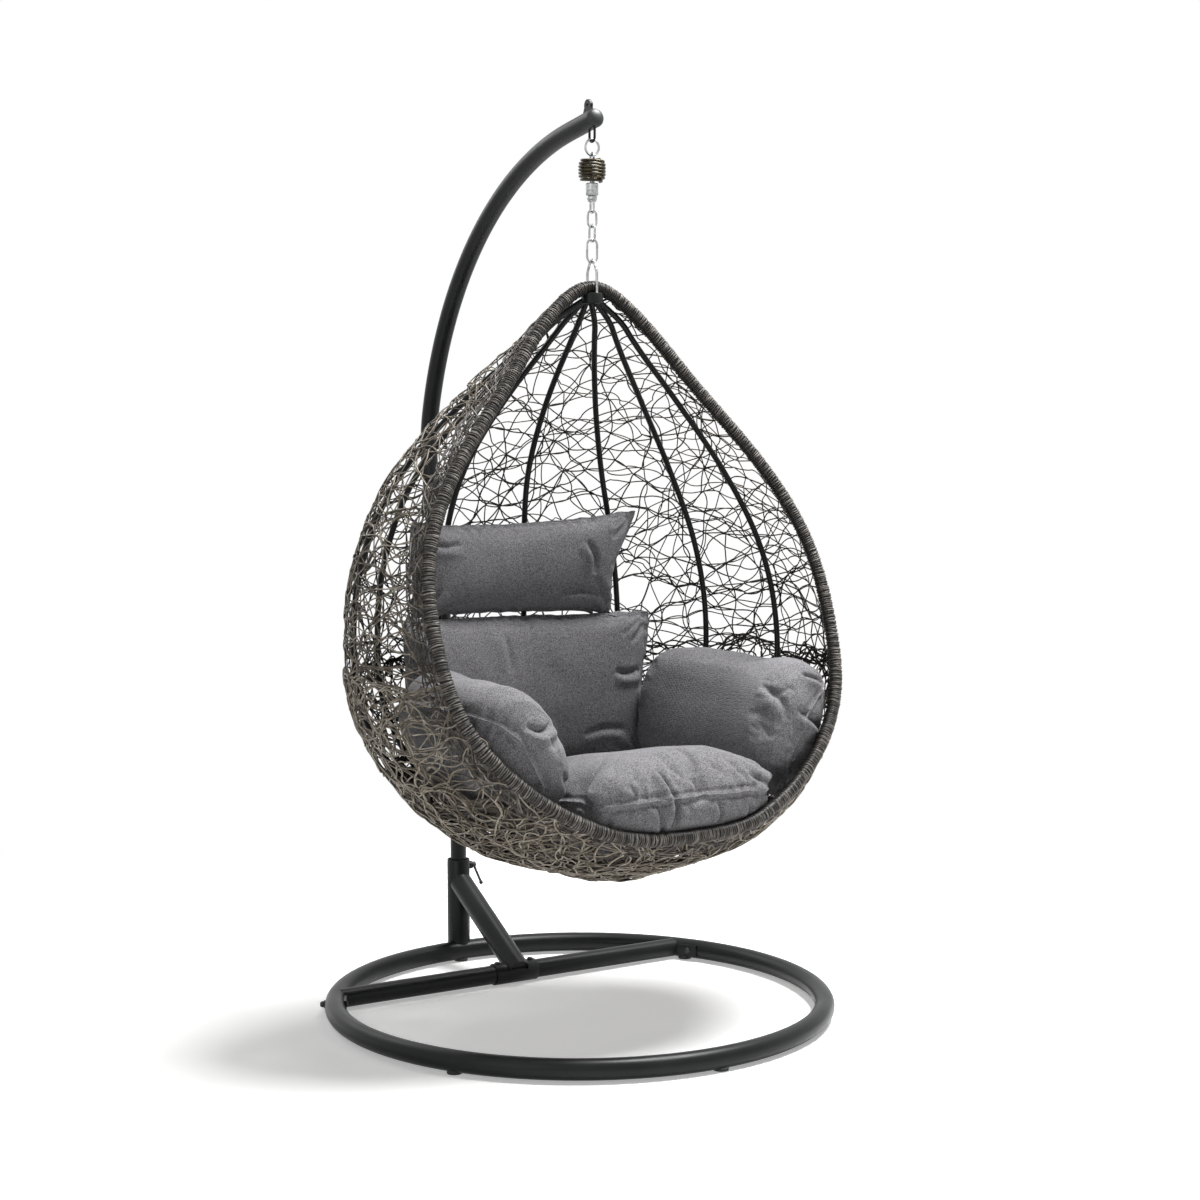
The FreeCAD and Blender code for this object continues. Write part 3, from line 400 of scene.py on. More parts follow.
def makeFloor():
    # Matt paper round the chair that turns into the white backdrop further out
    reach = floorLook["reach"]
    corners = [(-reach, -reach, 0), (reach, -reach, 0), (reach, reach, 0), (-reach, reach, 0)]
    mesh = bpy.data.meshes.new("studioFloor")
    mesh.from_pydata(corners, [], [(0, 1, 2, 3)])
    floor = bpy.data.objects.new("studioFloor", mesh)
    bpy.context.scene.collection.objects.link(floor)
    material, tree = newMaterial("paperFloor")
    matt = addNode(tree, "ShaderNodeBsdfDiffuse", {"Color": linear(floorLook["colour"])})
    path = addNode(tree, "ShaderNodeLightPath")
    seen = addNode(tree, "ShaderNodeMath", {"operation": "MAXIMUM"},
                   {0: path.outputs["Is Camera Ray"], 1: path.outputs["Is Glossy Ray"]})
    glow = addNode(tree, "ShaderNodeMath", {"operation": "MULTIPLY", 1: floorLook["glow"]},
                   {0: seen.outputs[0]})
    shine = addNode(tree, "ShaderNodeEmission", None, {"Strength": glow.outputs[0]})
    both = addNode(tree, "ShaderNodeAddShader", None, {0: matt.outputs[0], 1: shine.outputs[0]})
    place = addNode(tree, "ShaderNodeTexCoord").outputs["Object"]
    away = addNode(tree, "ShaderNodeVectorMath", {"operation": "LENGTH"}, {0: place})
    fade = addNode(tree, "ShaderNodeMapRange",
                   {"interpolation_type": "SMOOTHSTEP", 1: floorLook["fadeFrom"], 2: floorLook["fadeTo"]},
                   {0: away.outputs["Value"]})
    share = addNode(tree, "ShaderNodeMath", {"operation": "MULTIPLY"},
                    {0: fade.outputs[0], 1: seen.outputs[0]})
    white = addNode(tree, "ShaderNodeEmission", {"Strength": 1.0})
    mixed = addNode(tree, "ShaderNodeMixShader", None,
                    {0: share.outputs[0], 1: both.outputs[0], 2: white.outputs[0]})
    addNode(tree, "ShaderNodeOutputMaterial", None, {"Surface": mixed.outputs[0]})
    mesh.materials.append(material)


# Materials

coatLook = {"dark": "#0f1111", "light": "#181a1a", "shine": (0.32, 0.42), "specular": 0.2, "peel": 0.14}


def powderCoat():
    # Powder-coated steel, sprayed and baked: near black and satin, under a fine orange-peel skin
    material, tree = newMaterial("powderCoatedSteel")
    place = addNode(tree, "ShaderNodeTexCoord").outputs["Object"]
    cloud = addNode(tree, "ShaderNodeTexNoise", {"Scale": 9.0, "Detail": 3.0}, {"Vector": place})
    colour = addNode(tree, "ShaderNodeValToRGB",
                     {"stops": [(0.3, coatLook["dark"]), (0.7, coatLook["light"])]},
                     {"Fac": cloud.outputs[0]})
    rough = addNode(tree, "ShaderNodeMapRange",
                    {1: 0.3, 2: 0.7, 3: coatLook["shine"][0], 4: coatLook["shine"][1]},
                    {0: cloud.outputs[0]})
    peel = addNode(tree, "ShaderNodeTexNoise", {"Scale": 700.0, "Detail": 2.0}, {"Vector": place})
    bump = addNode(tree, "ShaderNodeBump", {"Strength": coatLook["peel"], "Distance": 0.0004},
                   {"Height": peel.outputs[0]})
    shader = addNode(tree, "ShaderNodeBsdfPrincipled", {"Specular IOR Level": coatLook["specular"]},
                     {"Base Color": colour.outputs[0], "Roughness": rough.outputs[0],
                      "Normal": bump.outputs[0]})
    addNode(tree, "ShaderNodeOutputMaterial", None, {"Surface": shader.outputs[0]})
    return material


zincLook = {"dark": "#8d8f90", "light": "#c4c6c6", "shine": (0.22, 0.42)}


def zincPlate():
    # Bright zinc plate on drawn wire: pale metal with slight cloudy dulling
    material, tree = newMaterial("zincPlatedSteel")
    place = addNode(tree, "ShaderNodeTexCoord").outputs["Object"]
    cloud = addNode(tree, "ShaderNodeTexNoise", {"Scale": 160.0, "Detail": 4.0}, {"Vector": place})
    colour = addNode(tree, "ShaderNodeValToRGB",
                     {"stops": [(0.35, zincLook["dark"]), (0.7, zincLook["light"])]},
                     {"Fac": cloud.outputs[0]})
    rough = addNode(tree, "ShaderNodeMapRange",
                    {1: 0.3, 2: 0.7, 3: zincLook["shine"][0], 4: zincLook["shine"][1]},
                    {0: cloud.outputs[0]})
    shader = addNode(tree, "ShaderNodeBsdfPrincipled", {"Metallic": 1.0},
                     {"Base Color": colour.outputs[0], "Roughness": rough.outputs[0]})
    addNode(tree, "ShaderNodeOutputMaterial", None, {"Surface": shader.outputs[0]})
    return material


springLook = {"dark": "#2c2618", "light": "#4a4230", "metallic": 0.75, "roughness": 0.38}


def springSteel():
    # Oil-tempered spring wire: brown-black and half bright
    material, tree = newMaterial("oilTemperedWire")
    place = addNode(tree, "ShaderNodeTexCoord").outputs["Object"]
    cloud = addNode(tree, "ShaderNodeTexNoise", {"Scale": 90.0, "Detail": 3.0}, {"Vector": place})
    colour = addNode(tree, "ShaderNodeValToRGB",
                     {"stops": [(0.35, springLook["dark"]), (0.7, springLook["light"])]},
                     {"Fac": cloud.outputs[0]})
    shader = addNode(tree, "ShaderNodeBsdfPrincipled",
                     {"Metallic": springLook["metallic"], "Roughness": springLook["roughness"]},
                     {"Base Color": colour.outputs[0]})
    addNode(tree, "ShaderNodeOutputMaterial", None, {"Surface": shader.outputs[0]})
    return material


nylonLook = {"dark": "#141516", "light": "#1d1e1f", "roughness": 0.45}


def blackMoulding():
    # Moulded black nylon and black-dyed screws: deep grey, satin, with a fine spark-eroded grain
    material, tree = newMaterial("mouldedBlackNylon")
    place = addNode(tree, "ShaderNodeTexCoord").outputs["Object"]
    grain = addNode(tree, "ShaderNodeTexNoise", {"Scale": 900.0, "Detail": 2.0}, {"Vector": place})
    colour = addNode(tree, "ShaderNodeValToRGB",
                     {"stops": [(0.3, nylonLook["dark"]), (0.7, nylonLook["light"])]},
                     {"Fac": grain.outputs[0]})
    bump = addNode(tree, "ShaderNodeBump", {"Strength": 0.2, "Distance": 0.0003},
                   {"Height": grain.outputs[0]})
    shader = addNode(tree, "ShaderNodeBsdfPrincipled", {"Roughness": nylonLook["roughness"]},
                     {"Base Color": colour.outputs[0], "Normal": bump.outputs[0]})
    addNode(tree, "ShaderNodeOutputMaterial", None, {"Surface": shader.outputs[0]})
    return material


rattanLook = {
    "outer": [(0.0, "#48423a"), (0.5, "#837a6d"), (1.0, "#b4ac9f")],
    # inner: painted shade, the near-black that strands take on faces looking into the basket
    "inner": [(0.0, "#14110f"), (1.0, "#2b2621")],
    "wound": [(0.0, "#2f2b29"), (0.5, "#57524e"), (1.0, "#958f89")],
    "under": [(0.0, "#2a2520"), (1.0, "#5a534a")],
    "drawnLines": 12, "fleck": 70.0, "roughness": 0.5, "specular": 0.3,
}


def polyRattan(name, outer):
    # Extruded synthetic rattan: matt, drawn in fine lines lengthways and grey-brown, with painted shade that
    # makes the faces looking into the basket dark
    material, tree = newMaterial(name)
    place = addNode(tree, "ShaderNodeTexCoord").outputs["Object"]
    tint = addNode(tree, "ShaderNodeAttribute", {"attribute_name": "tint"})
    fleck = addNode(tree, "ShaderNodeTexNoise", {"Scale": rattanLook["fleck"], "Detail": 3.0},
                    {"Vector": place})
    spread = addNode(tree, "ShaderNodeMapRange", {1: 0.3, 2: 0.7, 3: -0.3, 4: 0.3}, {0: fleck.outputs[0]})
    shade = addNode(tree, "ShaderNodeMath", {"operation": "ADD"},
                    {0: spread.outputs[0], 1: tint.outputs["Fac"]})
    light = addNode(tree, "ShaderNodeValToRGB", {"stops": outer}, {"Fac": shade.outputs[0]})
    dark = addNode(tree, "ShaderNodeValToRGB", {"stops": rattanLook["inner"]}, {"Fac": shade.outputs[0]})
    # Painted shade: faces that look into the basket blend towards the inner colours
    facing = addNode(tree, "ShaderNodeAttribute", {"attribute_name": "facing"})
    share = addNode(tree, "ShaderNodeMapRange", {1: -0.3, 2: 0.4}, {0: facing.outputs["Fac"]})
    colour = addNode(tree, "ShaderNodeMix", {"data_type": "RGBA"},
                     {0: share.outputs[0], 6: dark.outputs[0], 7: light.outputs[0]})
    around = addNode(tree, "ShaderNodeAttribute", {"attribute_name": "around"})
    lines = addNode(tree, "ShaderNodeMath", {"operation": "MULTIPLY", 1: 2 * pi * rattanLook["drawnLines"]},
                    {0: around.outputs["Fac"]})
    ridges = addNode(tree, "ShaderNodeMath", {"operation": "SINE"}, {0: lines.outputs[0]})
    bump = addNode(tree, "ShaderNodeBump", {"Strength": 0.3, "Distance": 0.0002},
                   {"Height": ridges.outputs[0]})
    shader = addNode(tree, "ShaderNodeBsdfPrincipled",
                     {"Roughness": rattanLook["roughness"], "Specular IOR Level": rattanLook["specular"]},
                     {"Base Color": colour.outputs[2], "Normal": bump.outputs[0]})
    addNode(tree, "ShaderNodeOutputMaterial", None, {"Surface": shader.outputs[0]})
    return material


# The yarns' pitch is in millimetres, the flecks are measured in yarns
canvasLook = {"light": "#9b9a9d", "dark": "#464547", "yarn": 1.7, "fleck": 0.7, "slub": 130.0,
              "slubShare": 0.12, "roughness": 0.92, "specular": 0.2, "sheen": 0.06}


def heatherCanvas():
    # Solution-dyed polyester canvas: a plain weave of mixed grey yarns with a soft bloom at grazing angles.
    # The real yarns lie about 0.6 mm apart and are drawn coarser here, so that they show
    material, tree = newMaterial("wovenHeatherCanvas")
    place = addNode(tree, "ShaderNodeTexCoord").outputs["Object"]
    pitch = 1000 / canvasLook["yarn"]
    fleck = addNode(tree, "ShaderNodeTexNoise",
                    {"Scale": pitch * canvasLook["fleck"], "Detail": 2.0, "Roughness": 0.7},
                    {"Vector": place})
    slub = addNode(tree, "ShaderNodeTexNoise", {"Scale": canvasLook["slub"], "Detail": 2.0},
                   {"Vector": place})
    mixed = addNode(tree, "ShaderNodeMath", {"operation": "MULTIPLY_ADD", 1: canvasLook["slubShare"]},
                    {0: slub.outputs[0], 2: fleck.outputs[0]})
    colour = addNode(tree, "ShaderNodeValToRGB",
                     {"stops": [(0.36, canvasLook["dark"]), (0.78, canvasLook["light"])]},
                     {"Fac": mixed.outputs[0]})
    yarn = {"Scale": pitch / (2 * pi), "Distortion": 1.2, "Detail": 1.0, "Detail Scale": 3.0}
    weft = addNode(tree, "ShaderNodeTexWave", dict(yarn, bands_direction="Z"), {"Vector": place})
    warp = addNode(tree, "ShaderNodeTexWave", dict(yarn, bands_direction="X"), {"Vector": place})
    yarns = addNode(tree, "ShaderNodeMath", {"operation": "MAXIMUM"},
                    {0: weft.outputs["Fac"], 1: warp.outputs["Fac"]})
    height = addNode(tree, "ShaderNodeMath", {"operation": "ADD"},
                     {0: yarns.outputs[0], 1: fleck.outputs[0]})
    bump = addNode(tree, "ShaderNodeBump", {"Strength": 0.4, "Distance": 0.0005},
                   {"Height": height.outputs[0]})
    shader = addNode(tree, "ShaderNodeBsdfPrincipled",
                     {"Roughness": canvasLook["roughness"], "Specular IOR Level": canvasLook["specular"],
                      "Sheen Weight": canvasLook["sheen"], "Sheen Roughness": 0.5},
                     {"Base Color": colour.outputs[0], "Normal": bump.outputs[0]})
    addNode(tree, "ShaderNodeOutputMaterial", None, {"Surface": shader.outputs[0]})
    return material


coat, zinc, springWire, black = powderCoat(), zincPlate(), springSteel(), blackMoulding()
rattan = polyRattan("extrudedPolyRattan", rattanLook["outer"])
wound = polyRattan("woundPolyRattan", rattanLook["wound"])
underRattan = polyRattan("underlayPolyRattan", rattanLook["under"])
canvas = heatherCanvas()

makeCamera()
makeLight()
makeFloor()
print("stage: camera, lamps and floor made")


# Stand

stand = {"ring": 504.0, "ringTube": 42.0, "ringZ": 24.0, "ringSteps": 144, "crossbarY": 270.0,
         "crossbarTube": 40.0, "postY": 513.0, "socketTube": 50.0, "socketWall": 2.0, "socketTop": 230.0,
         "socketFoot": 32.0, "clampZ": 213.0, "bossRadius": 9.0, "bossLength": 10.0, "braceTube": 50.0,
         "braceWall": 2.2, "braceSlope": 30.0, "braceSeat": 104.0, "tabBack": 34.0, "tabWidth": 44.0,
         "tabHeight": 24.0, "tabThick": 2.5, "weldDepth": 3.0}


def makeStand():
    ring = []
    for i in range(stand["ringSteps"]):
        turn = 2 * pi * i / stand["ringSteps"]
        ring.append(spot(stand["ring"] * cos(turn), stand["ring"] * sin(turn), stand["ringZ"]))
    newPiece("baseRingTube", tube("baseRingTube", [ring], stand["ringTube"] / 2, coat, 32, True), None,
             "stand", "frame_paint", "base_ring")
    reach = sqrt(stand["ring"] ** 2 - stand["crossbarY"] ** 2) - 8
    bar = [spot(x, stand["crossbarY"], stand["ringZ"]) for x in (-reach, 0, reach)]
    parts = [tube("bar", [bar], stand["crossbarTube"] / 2, coat, 32)]
    parts += [tabPlate(side) for side in (-1, 1)]
    newPiece("crossbarTube", joinMeshes("crossbarTube", parts), coat, "stand", "frame_paint", "crossbar")
    r, foot, top = stand["socketTube"] / 2, stand["socketFoot"] - 10, stand["socketTop"]
    bore = r - stand["socketWall"]
    outline = [(bore, foot), (r, foot), (r, top - 1), (r - 0.8, top), (bore, top)]
    socket = turned("socket", outline, Vector((0, stand["postY"], 0)), axisZ, 40)
    wide, length = stand["bossRadius"], stand["bossLength"]
    boss = turned("boss", [(wide, 0), (wide, length), (wide - 0.8, length + 0.5)],
                  Vector((bore, stand["postY"], stand["clampZ"])), axisX, 24)
    newPiece("postSocketTube", joinMeshes("postSocketTube", [socket, boss]), coat, "stand", "frame_paint",
             "post_socket")
    makeBrace()


def tabPlate(side):
    # A small plate welded to the crossbar's end and curved to the inside of the ring
    near = asin((stand["crossbarY"] - stand["tabBack"]) / stand["ring"])
    inner = stand["ring"] - stand["ringTube"] / 2
    points, faces = [], []
    half, rise, columns = stand["tabWidth"] / 2 / inner, stand["tabHeight"] / 2, 8
    for radius in (inner - stand["tabThick"], inner + stand["weldDepth"]):
        for i in range(columns + 1):
            turn = near + half * (2 * i / columns - 1)
            for z in (-rise, rise):
                points.append(spot(side * radius * cos(turn), radius * sin(turn), stand["ringZ"] + z))
    count = 2 * (columns + 1)
    for i in range(columns):
        a = 2 * i
        faces += [(a, a + 1, a + 3, a + 2), (count + a, count + a + 2, count + a + 3, count + a + 1),
                  (a, a + 2, count + a + 2, count + a), (a + 1, count + a + 1, count + a + 3, a + 3)]
    faces += [(0, count, count + 1, 1), (count - 2, count - 1, 2 * count - 1, 2 * count - 2)]
    if side > 0:
        faces = [tuple(reversed(face)) for face in faces]
    return meshOf("tab", points, faces)


def makeBrace():
    # A sloping tube welded to a sleeve that sits round the crossbar
    slope = radians(stand["braceSlope"])
    along = Vector((0, cos(slope), sin(slope)))
    foot = Vector((0, stand["crossbarY"], stand["ringZ"] + stand["crossbarTube"] / 2))
    start = foot - along * 26
    r = stand["braceTube"] / 2
    length = (stand["postY"] - 10 - start.y) / cos(slope)
    bore = r - stand["braceWall"]
    outline = [(bore, 6), (bore, 0.6), (r - 0.8, 0), (r, 0.8), (r, length - 1), (r - 1, length)]
    sloping = turned("brace", outline, start, along, 40)
    outer, wide = stand["crossbarTube"] / 2 + 3, stand["braceSeat"]
    seat = turned("seat", [(outer - 0.6, 0), (outer, 0.8), (outer, wide - 0.8), (outer - 0.6, wide)],
                  Vector((-wide / 2, stand["crossbarY"], stand["ringZ"])), axisX, 40)
    newPiece("braceTube", joinMeshes("braceTube", [sloping, seat]), coat, "stand", "frame_paint", "brace")


arm = {"footZ": 45.2, "bendZ": 290.0, "bendRadius": 700.0, "lean": 9.1, "jointZ": 700.0, "lowerTube": 35.0,
       "upperTube": 38.0, "shoulderZ": 1105.0, "shoulderRadius": 300.0, "shoulderTurn": 22.6,
       "crookRadius": 770.0, "crookTurn": 65.0, "tipY": -58.0, "spigot": 70.0}


def leanPoint(height):
    # Where the leaning straight of the arm is at a height
    turn = radians(arm["lean"])
    y = stand["postY"] + arm["bendRadius"] * (1 - cos(turn))
    z = arm["bendZ"] + arm["bendRadius"] * sin(turn)
    return Vector((0, y + (height - z) * tan(turn), height))


def makeArm():
    lean = Vector((0, sin(radians(arm["lean"])), cos(radians(arm["lean"]))))
    low, _ = route((0, stand["postY"], arm["footZ"]), axisZ, axisX,
                   [arm["bendZ"] - arm["footZ"], (-arm["lean"], arm["bendRadius"])], 0.6)
    low.append(leanPoint(arm["jointZ"]) + lean * arm["spigot"])
    newPiece("armLowerTube", tube("armLowerTube", [metres(low)], arm["lowerTube"] / 2, coat, 32), None,
             "stand", "frame_paint", "arm_lower")
    run = (arm["shoulderZ"] - arm["jointZ"]) / cos(radians(arm["lean"]))
    high, way = route(leanPoint(arm["jointZ"]), lean, axisX,
                      [run, (arm["shoulderTurn"], arm["shoulderRadius"]),
                       (arm["crookTurn"], arm["crookRadius"])], 1.2)
    last = high[-1] + way * ((arm["tipY"] - high[-1].y) / way.y)  # straight on to the tip
    high.append(last)
    newPiece("armUpperTube", tube("armUpperTube", [metres(high)], arm["upperTube"] / 2, coat, 32), None,
             "stand", "frame_paint", "arm_upper")
    r = arm["upperTube"] / 2
    dome = [(r - 2.5, -4), (r - 0.2, 0), (r - 0.2, 1.2), (r * 0.97, 3.2), (r * 0.9, 6.0), (r * 0.78, 8.6),
            (r * 0.6, 10.8), (r * 0.36, 12.4), (r * 0.12, 13.0)]
    newPiece("armEndCap", turned("armEndCap", dome, last, way, 36, 60), black, "stand", "black_plastic",
             "arm_cap")
    return last, way


makeStand()
armTip, armWay = makeArm()
print("stand: ring, crossbar, socket, brace and arm made")


# Hanging gear

gear = {"wire": 4.5, "slack": 0.15, "stapleWire": 5.0, "stapleRadius": 9.5, "stapleZ": 1770.5,
        "hangerRadius": 15.75, "topEyeRadius": 6.5, "springWire": 5.4, "springTurns": 7,
        "springTop": 1740.0, "springHeight": 50.0, "springEnd": 18.0, "springMiddle": 25.0,
        "swivelTop": 1689.5, "swivelLow": 1665.0, "swivelRadius": 12.5, "eyeLow": 1631.1, "eyeRadius": 6.0,
        "linkLength": 33.0, "linkWidth": 20.0, "longLength": 46.0, "longWidth": 23.5, "loopWire": 5.5,
        "loopRadius": 9.0, "loopSpread": 17.5, "loopSplay": 25.0, "hubZ": 1452.0, "hubThick": 22.0,
        "hubRadius": 22.0}


def linkLine(length, width, centre, across):
    side = length - width
    start = centre + axisZ.cross(across) * (width / 2) - axisZ * (side / 2)
    points, _ = route(start, axisZ, across, [side, (180, width / 2), side, (180, width / 2)], 12)
    return metres(points[:-1])


def armAxis(y):
    return armTip.z + (y - armTip.y) * armWay.z / armWay.y


def makeGear():
    wire, slack = gear["wire"], gear["slack"]
    bendZ = gear["stapleZ"] + gear["stapleRadius"]
    leg = armAxis(hangY) - bendZ - 8
    points, _ = route(hang(0, -gear["stapleRadius"], bendZ + leg), -axisZ, axisX,
                      [leg, (180, gear["stapleRadius"]), leg], 12)
    newPiece("hangingStapleRod",
             tube("hangingStapleRod", [metres(points)], gear["stapleWire"] / 2, coat, 16), None, "stand",
             "frame_paint", "hanging_staple")
    hangerZ = gear["stapleZ"] + (gear["stapleWire"] + wire) / 2 + slack - gear["hangerRadius"]
    eyeZ = hangerZ - gear["hangerRadius"] + wire + slack - gear["topEyeRadius"]
    ring, _ = route(hang(gear["hangerRadius"], 0, hangerZ), axisZ, axisY * -1,
                    [(360, gear["hangerRadius"])], 9)
    newPiece("hangerRingWire", tube("hangerRingWire", [metres(ring[:-1])], wire / 2, zinc, 14, True), None,
             "hanger", "zinc", "hanger_ring")
    eye, _ = route(hang(0, gear["topEyeRadius"], eyeZ), axisZ, axisX, [(360, gear["topEyeRadius"])], 12)
    top = eyeZ - gear["topEyeRadius"]
    stem = turned("stem", [(15, -14), (16, -13.2), (16, -12), (15, -11.3), (6, -7.5), (3.4, -5), (3.4, 0.5)],
                  hang(0, 0, top), axisZ, 28)
    bolt = [tube("eye", [metres(eye[:-1])], wire / 2, zinc, 14, True), stem]
    newPiece("springTopEyeBolt", joinMeshes("springTopEyeBolt", bolt), zinc, "spring_head", "zinc",
             "spring_top_eye")
    makeSpring()
    low, high, r = gear["swivelLow"], gear["swivelTop"] - gear["swivelLow"], gear["swivelRadius"]
    barrel = [(4.1, 0), (r - 1.2, 0), (r - 0.4, 0.4), (r, 1.2), (r, 8.0), (r - 0.7, 8.7), (r - 0.7, 10.2),
              (r, 10.9), (r, high - 1.5), (r - 1.5, high), (5, high), (5, high + 9), (15.4, high + 14),
              (16, high + 14.6), (15.4, high + 16)]
    newPiece("swivelBarrel", turned("swivelBarrel", barrel, hang(0, 0, low), axisZ, 40), zinc,
             "swivel_barrel", "zinc", "swivel_body")
    pin = [(8.1, -12), (8.5, -11.6), (8.5, -9.4), (8.1, -9), (4, -9), (4, 4.1)]
    legLength = low - 10.5 - gear["eyeLow"] - gear["eyeRadius"]
    hook, _ = route(hang(0, -gear["eyeRadius"], gear["eyeLow"] + gear["eyeRadius"] + legLength), -axisZ,
                    axisX, [legLength, (180, gear["eyeRadius"]), legLength], 12)
    eyePin = [turned("pin", pin, hang(0, 0, low), axisZ, 28),
              tube("hook", [metres(hook)], wire / 2, zinc, 14)]
    newPiece("swivelEyePin", joinMeshes("swivelEyePin", eyePin), zinc, "swivel_pin", "zinc", "swivel_eye")
    collar = [(5, 0), (8.5, 0), (9.6, 0.8), (10, 2), (10, 6), (9.6, 7.2), (8.5, 8), (5, 8)]
    newPiece("swivelCollarNut", turned("swivelCollarNut", collar, hang(0, 0, low - 8.8), axisZ, 32), zinc,
             "swivel_pin", "zinc", "swivel_collar")
    firstZ = gear["eyeLow"] + wire + slack - gear["linkLength"] / 2
    secondZ = firstZ + wire + slack - gear["linkLength"]
    longZ = secondZ + wire + slack - (gear["linkLength"] + gear["longLength"]) / 2
    links = [("chainLink1", "link_1", "chain_link_1", gear["linkLength"], gear["linkWidth"], firstZ, axisY),
             ("chainLink2", "link_2", "chain_link_2", gear["linkLength"], gear["linkWidth"], secondZ, axisX),
             ("hangingLink", "link_3", "hanging_link", gear["longLength"], gear["longWidth"], longZ, axisY)]
    for name, body, node, length, width, z, across in links:
        line = linkLine(length, width, hang(0, 0, z), across)
        newPiece(name, tube(name, [line], wire / 2, zinc, 14, True), None, body, "zinc", node)
    makeLoop(longZ - gear["longLength"] / 2 + (wire + gear["loopWire"]) / 2 + slack)


def makeSpring():
    # A barrel-shaped coil whose wire swells out at its middle
    points, perTurn = [], 40
    count = gear["springTurns"] * perTurn
    for i in range(count + 1):
        share = i / count
        swell = (gear["springMiddle"] - gear["springEnd"]) * (1 - (2 * share - 1) ** 4)
        radius, turn = gear["springEnd"] + swell, 2 * pi * i / perTurn
        drop = gear["springWire"] / 2 + (gear["springHeight"] - gear["springWire"]) * share
        points.append(hang(radius * cos(turn), radius * sin(turn), gear["springTop"] - drop))
    turns = tube("coilSpring", [metres(points)], gear["springWire"] / 2, springWire, 14)
    coil = newPiece("coilSpring", turns, None, None, "spring_steel")
    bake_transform(coil)
    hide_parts("spring")


def makeLoop(topZ):
    # A splayed round-bar loop with both feet in the hub that the ribs meet in
    splay, knee = radians(gear["loopSplay"]), 12.0
    run = (gear["loopSpread"] - gear["loopRadius"] * cos(splay) - knee * (1 - cos(splay))) / sin(splay)
    rise = knee * sin(splay) + run * cos(splay) + gear["loopRadius"] * (1 - sin(splay))
    foot = gear["hubZ"] + gear["hubThick"] - 3.0
    leg = topZ - rise - foot
    bend = (gear["loopSplay"], knee)
    points, _ = route(hang(0, gear["loopSpread"], foot), axisZ, axisX,
                      [leg, bend, run, (180 - 2 * gear["loopSplay"], gear["loopRadius"]), run, bend, leg], 8)
    newPiece("basketLoopRod", tube("basketLoopRod", [metres(points)], gear["loopWire"] / 2, zinc, 14), None,
             "basket", "zinc", "basket_loop")
    r, deep = gear["hubRadius"], gear["hubThick"]
    hub = [(r - 1, 0), (r, 1), (r, deep - 4), (r - 1, deep - 1.5), (r - 4, deep)]
    newPiece("topHubDisc", turned("topHubDisc", hub, hang(0, 0, gear["hubZ"]), axisZ, 36), coat, "basket",
             "frame_paint", "top_hub")


makeGear()
print("gear: staple, rings, spring, swivel and chain made")


# Basket: its skin is an ellipse at each height

# Height, half width, half depth, and how far the ellipse's centre lies behind the hanging line
skinRows = ((300, 39, 33, -87), (330, 141, 117, -84), (370, 273, 217, -80), (430, 374, 283, -74),
            (520, 465, 326, -63), (640, 533, 340, -47), (800, 550, 314, -21), (960, 516, 285, 6),
            (1120, 425, 235, 34), (1280, 272, 150, 35), (1400, 136, 74, 17), (1488, 47, 25, -5))
basket = {"rimTop": 1484.0, "rimBottom": 430.0, "rimLean": 0.1863, "rimCurve": 7280.0, "rimTube": 24.0,
          "ribTube": 12.0, "ribInset": 22.0, "ribAngles": (-73.5, -49.0, -24.5, 0.0, 24.5, 49.0, 73.5),
          "footHubZ": 318.0, "footHubRadius": 42.0}


def skinSlope(i, k):
    # The slope of value k at row i, for a curve that runs smoothly through the rows
    if 0 < i < len(skinRows) - 1:
        before, after = skinRows[i][0] - skinRows[i - 1][0], skinRows[i + 1][0] - skinRows[i][0]
        back = (skinRows[i][k] - skinRows[i - 1][k]) / before
        ahead = (skinRows[i + 1][k] - skinRows[i][k]) / after
        return (back * after + ahead * before) / (before + after)
    j = max(i, 1)
    return (skinRows[j][k] - skinRows[j - 1][k]) / (skinRows[j][0] - skinRows[j - 1][0])


def skinAt(height):
    i = 0
    while i < len(skinRows) - 2 and height > skinRows[i + 1][0]:
        i += 1
    span = skinRows[i + 1][0] - skinRows[i][0]
    t = (height - skinRows[i][0]) / span
    found = []
    for k in (1, 2, 3):
        low, high = skinRows[i][k], skinRows[i + 1][k]
        start, end = skinSlope(i, k) * span, skinSlope(i + 1, k) * span
        found.append((1 + 2 * t) * (1 - t) ** 2 * low + t * (1 - t) ** 2 * start
                     + t * t * (3 - 2 * t) * high - t * t * (1 - t) * end)
    return found


def rimY(height):
    # The rim's plane leans and bends forward below its top
    drop = basket["rimTop"] + 12.0 - height
    return 6.0 - basket["rimLean"] * drop - drop * drop / basket["rimCurve"]


def skinInset(height, inset):
    # The ellipse of a skin that lies inside the outer one, and how much higher than this its points are
    a, b, c = skinAt(height)
    above, below = skinAt(height + 1), skinAt(height - 1)
    slope = (above[0] + above[1] - below[0] - below[1]) / 4
    shrink = inset / hypot(1, slope)
    return a - shrink, b - shrink, c, shrink * slope


def makeSkinTable():
    # Heights every 2 mm with the skin's sizes and their slopes; the foot closes like a shallow bowl
    heights = np.arange(297.0, 1490.0, 2.0)
    sizes = np.array([skinAt(max(h, 300.0)) for h in heights])
    below = heights < 300.0
    sizes[below, :2] *= np.sqrt(np.clip((heights[below] - 296.0) / 4.0, 0.05, 1))[:, None]
    slopes = np.gradient(sizes, heights, axis=0)
    return heights, sizes, slopes


skinHeights, skinSizes, skinSlopes = makeSkinTable()


